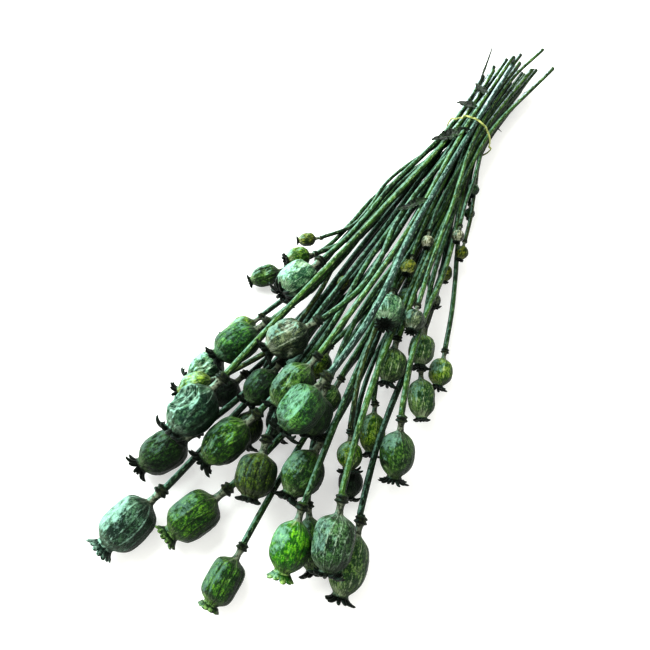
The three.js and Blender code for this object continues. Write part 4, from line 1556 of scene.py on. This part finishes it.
@dataclass(frozen=True)
class Leaf:
    """A withered leaf lying on the stems: a crumpled, curled blade with a ragged edge.

    Lower is how far the whole blade sinks until it lies on the stems, droop is how much further its
    free tip hangs, and clasp is how much further its base bends down to hold its stem, all in mm.
    """

    number: int
    lower: float
    droop: float
    clasp: float

    ALONG = 120
    ROUND = 56
    THIN = 0.35 * MM
    SLIMMEST = 1.1 * MM
    READ_AT = 14
    NEAR = 1 / 16
    WIDEN = 1.2
    CLASP_AT = 0.72

    @property
    def node(self) -> str:
        """The leaf's CAD node."""
        return f"dried_leaf_{self.number:02d}"

    def spine(self) -> tuple[Array, Array, Array]:
        """Reads where the blade runs.

        The long axis is the node's main direction, and across is level. Values along the axis are
        averages of the vertices, weighted by how close they are along it. It runs from the free tip to
        the base, which is the end nearer the bunch's right side. The height then drops by
        lower + droop x (1 - share of length)^2 + clasp x a smooth step at the base.

        Returns:
            Middle points, shape (m, 3), half-widths, shape (m,), and the direction across, shape (3,).
        """
        spots, _ = merged_mesh(cad_node(self.node))
        middle = spots.mean(axis=0)
        _, _, axes = np.linalg.svd(spots - middle, full_matrices=False)
        axis = axes[0] * np.sign(axes[0][0])
        own = (spots - middle) @ axis
        level = unit(np.cross(axis, UP))
        across = (spots - middle) @ level
        at = np.linspace(own.min(), own.max(), self.READ_AT)
        weight = np.exp(-(((at[:, None] - own) / (np.ptp(own) * self.NEAR)) ** 2))
        weight /= weight.sum(axis=1, keepdims=True)
        points = weight @ spots + ((at - weight @ own)[:, None]) * axis
        mean = weight @ across
        half = np.maximum(np.sqrt(weight @ across**2 - mean**2) * self.WIDEN, self.SLIMMEST)
        path = through(points, self.ALONG)
        s = np.linspace(0.0, 1.0, self.ALONG)
        sunk = self.lower + self.droop * (1 - s) ** 2 + self.clasp * smoothstep(self.CLASP_AT, 1.0, s)
        path[:, 2] -= sunk * MM
        return path, np.interp(s, np.linspace(0, 1, self.READ_AT), half), level

    def build(self, finishes: Finishes) -> bpy.types.Object:
        """Builds the blade as a thin closed shell.

        Its section is a flat oval bent into a gutter: height = cup x across^2 + folds, where the folds
        are creased noise. The half-width is cut into teeth by a sharpened sine along each edge.

        Args:
            finishes: Where its material comes from.

        Returns:
            The leaf.
        """
        path, half, across = self.spine()
        m, n = self.ALONG, self.ROUND
        s = np.linspace(0.0, 1.0, m)[:, None]
        turn = full_turn(n)[None, :]
        tangent = unit(np.gradient(path, axis=0))
        side = unit(across - (tangent @ across)[:, None] * tangent)
        face = np.cross(side, tangent)
        face_sign = np.sign(face[m // 2, 2]) or 1.0
        u = np.cos(turn) + 0 * s
        teeth = np.abs(np.sin(s * 31 + 2.2 * (u > 0) + self.number)) ** 0.6
        torn = noise(np.stack([s * 9 + 0 * u, u * 0.7, 0 * u], -1), self.number) - 0.4
        cut = 0.72 + 0.28 * teeth - 0.25 * torn
        taper = np.sin(np.pi * np.clip(s * 0.94 + 0.05, 0, 1)) ** 0.5
        width = half[:, None] * 1.1 * cut * taper
        spot = np.stack([u * width * 420, s * 11 + 0 * u, 0 * u + self.number], axis=-1)
        fold = creases(spot * 0.6, self.number + 4)
        cup = 0.75 * u**2 * (0.4 + noise(spot * 0.3, 8))
        rise = half[:, None] * (cup - 0.35 * fold + 0.5 * (noise(spot * 0.5, 3) - 0.5))
        vein = np.exp(-((u / 0.1) ** 2))
        thick = self.THIN * (1 + 1.2 * vein) * np.sin(turn)
        height = face_sign * rise + thick
        rings = path[:, None] + (width * u)[..., None] * side[:, None] + height[..., None] * face[:, None]
        form, zone = plain(rings, rib=vein, hollow=fold, along=s, pale=smoothstep(0.6, 1.0, np.abs(u)))
        shells = Shells()
        run = s * np.linalg.norm(path[-1] - path[0])
        shells.add_tube(rings, form, zone, np.stack([width * u, run + 0 * u], axis=-1))
        return shells.to_object(f"crumpled_leaf_{self.number:02d}", finishes.leaf())


LEAVES: tuple[Leaf, ...] = (
    Leaf(1, 4.6, 7.0, 1.6),
    Leaf(2, 2.2, 6.0, 1.0),
    Leaf(3, 4.8, 3.0, 1.2),
    Leaf(4, 4.0, 4.0, 1.2),
    Leaf(5, 1.6, 0.0, 3.0),
)


# ---- Studio ----


@dataclass(frozen=True)
class Lamp:
    """A square lamp that points at the middle of the bunch."""

    name: str
    place: tuple[float, float, float]
    size: float
    watts: float
    colour: Colour

    def hang(self) -> None:
        """Adds the lamp to the scene."""
        light = bpy.data.lights.new(self.name, "AREA")
        light.size = self.size
        light.energy = self.watts
        light.color = self.colour
        lamp = bpy.data.objects.new(self.name, light)
        lamp.location = self.place
        lamp.rotation_euler = Vector(self.place).to_track_quat("Z", "Y").to_euler()
        bpy.context.scene.collection.objects.link(lamp)


@dataclass
class Studio:
    """The camera, a pale floor, and soft cool light from the upper left."""

    LAMPS = (
        Lamp("soft_key", (-0.85, 0.15, 1.0), 1.1, 34.0, (0.93, 1.0, 0.96)),
        Lamp("low_fill", (0.9, -0.9, 0.9), 1.2, 3.0, (1.0, 1.0, 0.93)),
    )
    ROOM_COLOUR = (1.0, 1.0, 0.92, 1.0)
    ROOM_STRENGTH = 0.82
    FLOOR_GREYS = ((0.66, 0.66, 0.66), (0.7, 0.7, 0.7))
    FLOOR_GLOW = 0.4
    FLOOR_RELIEF = 0.1 * MM
    FLOOR_SIZE = 6.0
    FLOOR_GAP = 0.4 * MM
    LENS = 35.446
    SENSOR = 36.0
    NEAREST = 10 * MM
    FROM_TIE = (122.6 * MM, -455.0 * MM, 506.1 * MM)
    TILT = math.radians(25.0)
    TURN = math.radians(33.0)

    def build(self) -> None:
        """Sets up the camera, floor, lamps and world."""
        self.camera()
        self.floor()
        for lamp in self.LAMPS:
            lamp.hang()
        self.world()

    def camera(self) -> None:
        """Places the camera over the heads, at a fixed offset from the tie."""
        low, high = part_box(TieBand.NODE)
        camera = bpy.data.objects.new("camera", bpy.data.cameras.new("camera"))
        camera.data.sensor_width = self.SENSOR
        camera.data.lens = self.LENS
        camera.data.clip_start = self.NEAREST
        camera.location = (low + high) / 2 + Vector(self.FROM_TIE)
        camera.rotation_euler = (self.TILT, 0.0, self.TURN)
        bpy.context.scene.collection.objects.link(camera)
        bpy.context.scene.camera = camera

    def floor(self) -> None:
        """Lays a wide pale sheet under the bunch, with a little light of its own to soften shadows."""
        half = self.FLOOR_SIZE / 2
        mesh = bpy.data.meshes.new("floor")
        corners = [(-half, -half), (half, -half), (half, half), (-half, half)]
        mesh.from_pydata([(x, y, -self.FLOOR_GAP) for x, y in corners], [], [(0, 1, 2, 3)])
        material, w = new_material("floor")
        paper = w.noise(w.add("ShaderNodeTexCoord").outputs["Object"], 40.0, 3.0)
        w.surface(w.mix(paper, *self.FLOOR_GREYS), 0.9, paper, self.FLOOR_RELIEF,
                  Emission_Color=(1.0, 1.0, 1.0), Emission_Strength=self.FLOOR_GLOW)
        mesh.materials.append(material)
        floor = bpy.data.objects.new("floor", mesh)
        bpy.context.scene.collection.objects.link(floor)

    def world(self) -> None:
        """Lights the room evenly, near white, and sets how the picture is toned."""
        world = bpy.data.worlds.new("studio")
        world.use_nodes = True
        background = world.node_tree.nodes["Background"]
        background.inputs["Color"].default_value = self.ROOM_COLOUR
        background.inputs["Strength"].default_value = self.ROOM_STRENGTH
        bpy.context.scene.world = world
        bpy.context.scene.view_settings.view_transform = "Standard"
        bpy.context.scene.view_settings.look = "Medium High Contrast"


# ---- Putting it together ----


def keep(piece: bpy.types.Object, node: str, slot: str) -> None:
    """Hides a piece's CAD node, parents the piece to the root body, and logs its size."""
    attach(piece, "root")
    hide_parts(node)
    log.info("%s: %d faces", piece.name, len(piece.data.polygons))


def main() -> None:
    """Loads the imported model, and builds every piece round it."""
    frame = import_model()
    Studio().build()
    finishes = Finishes()
    for number, look in enumerate(LOOKS, start=1):
        node = f"poppy_stalk_{number:02d}"
        stalk = Stalk(number, Core.read(frame["nodes"][node]), look)
        keep(stalk.build(finishes), node, "stalk")
    keep(TieBand().build(finishes), TieBand.NODE, "tie_band")
    for leaf in LEAVES:
        keep(leaf.build(finishes), leaf.node, "withered_leaf")


if __name__ == "__main__":
    main()
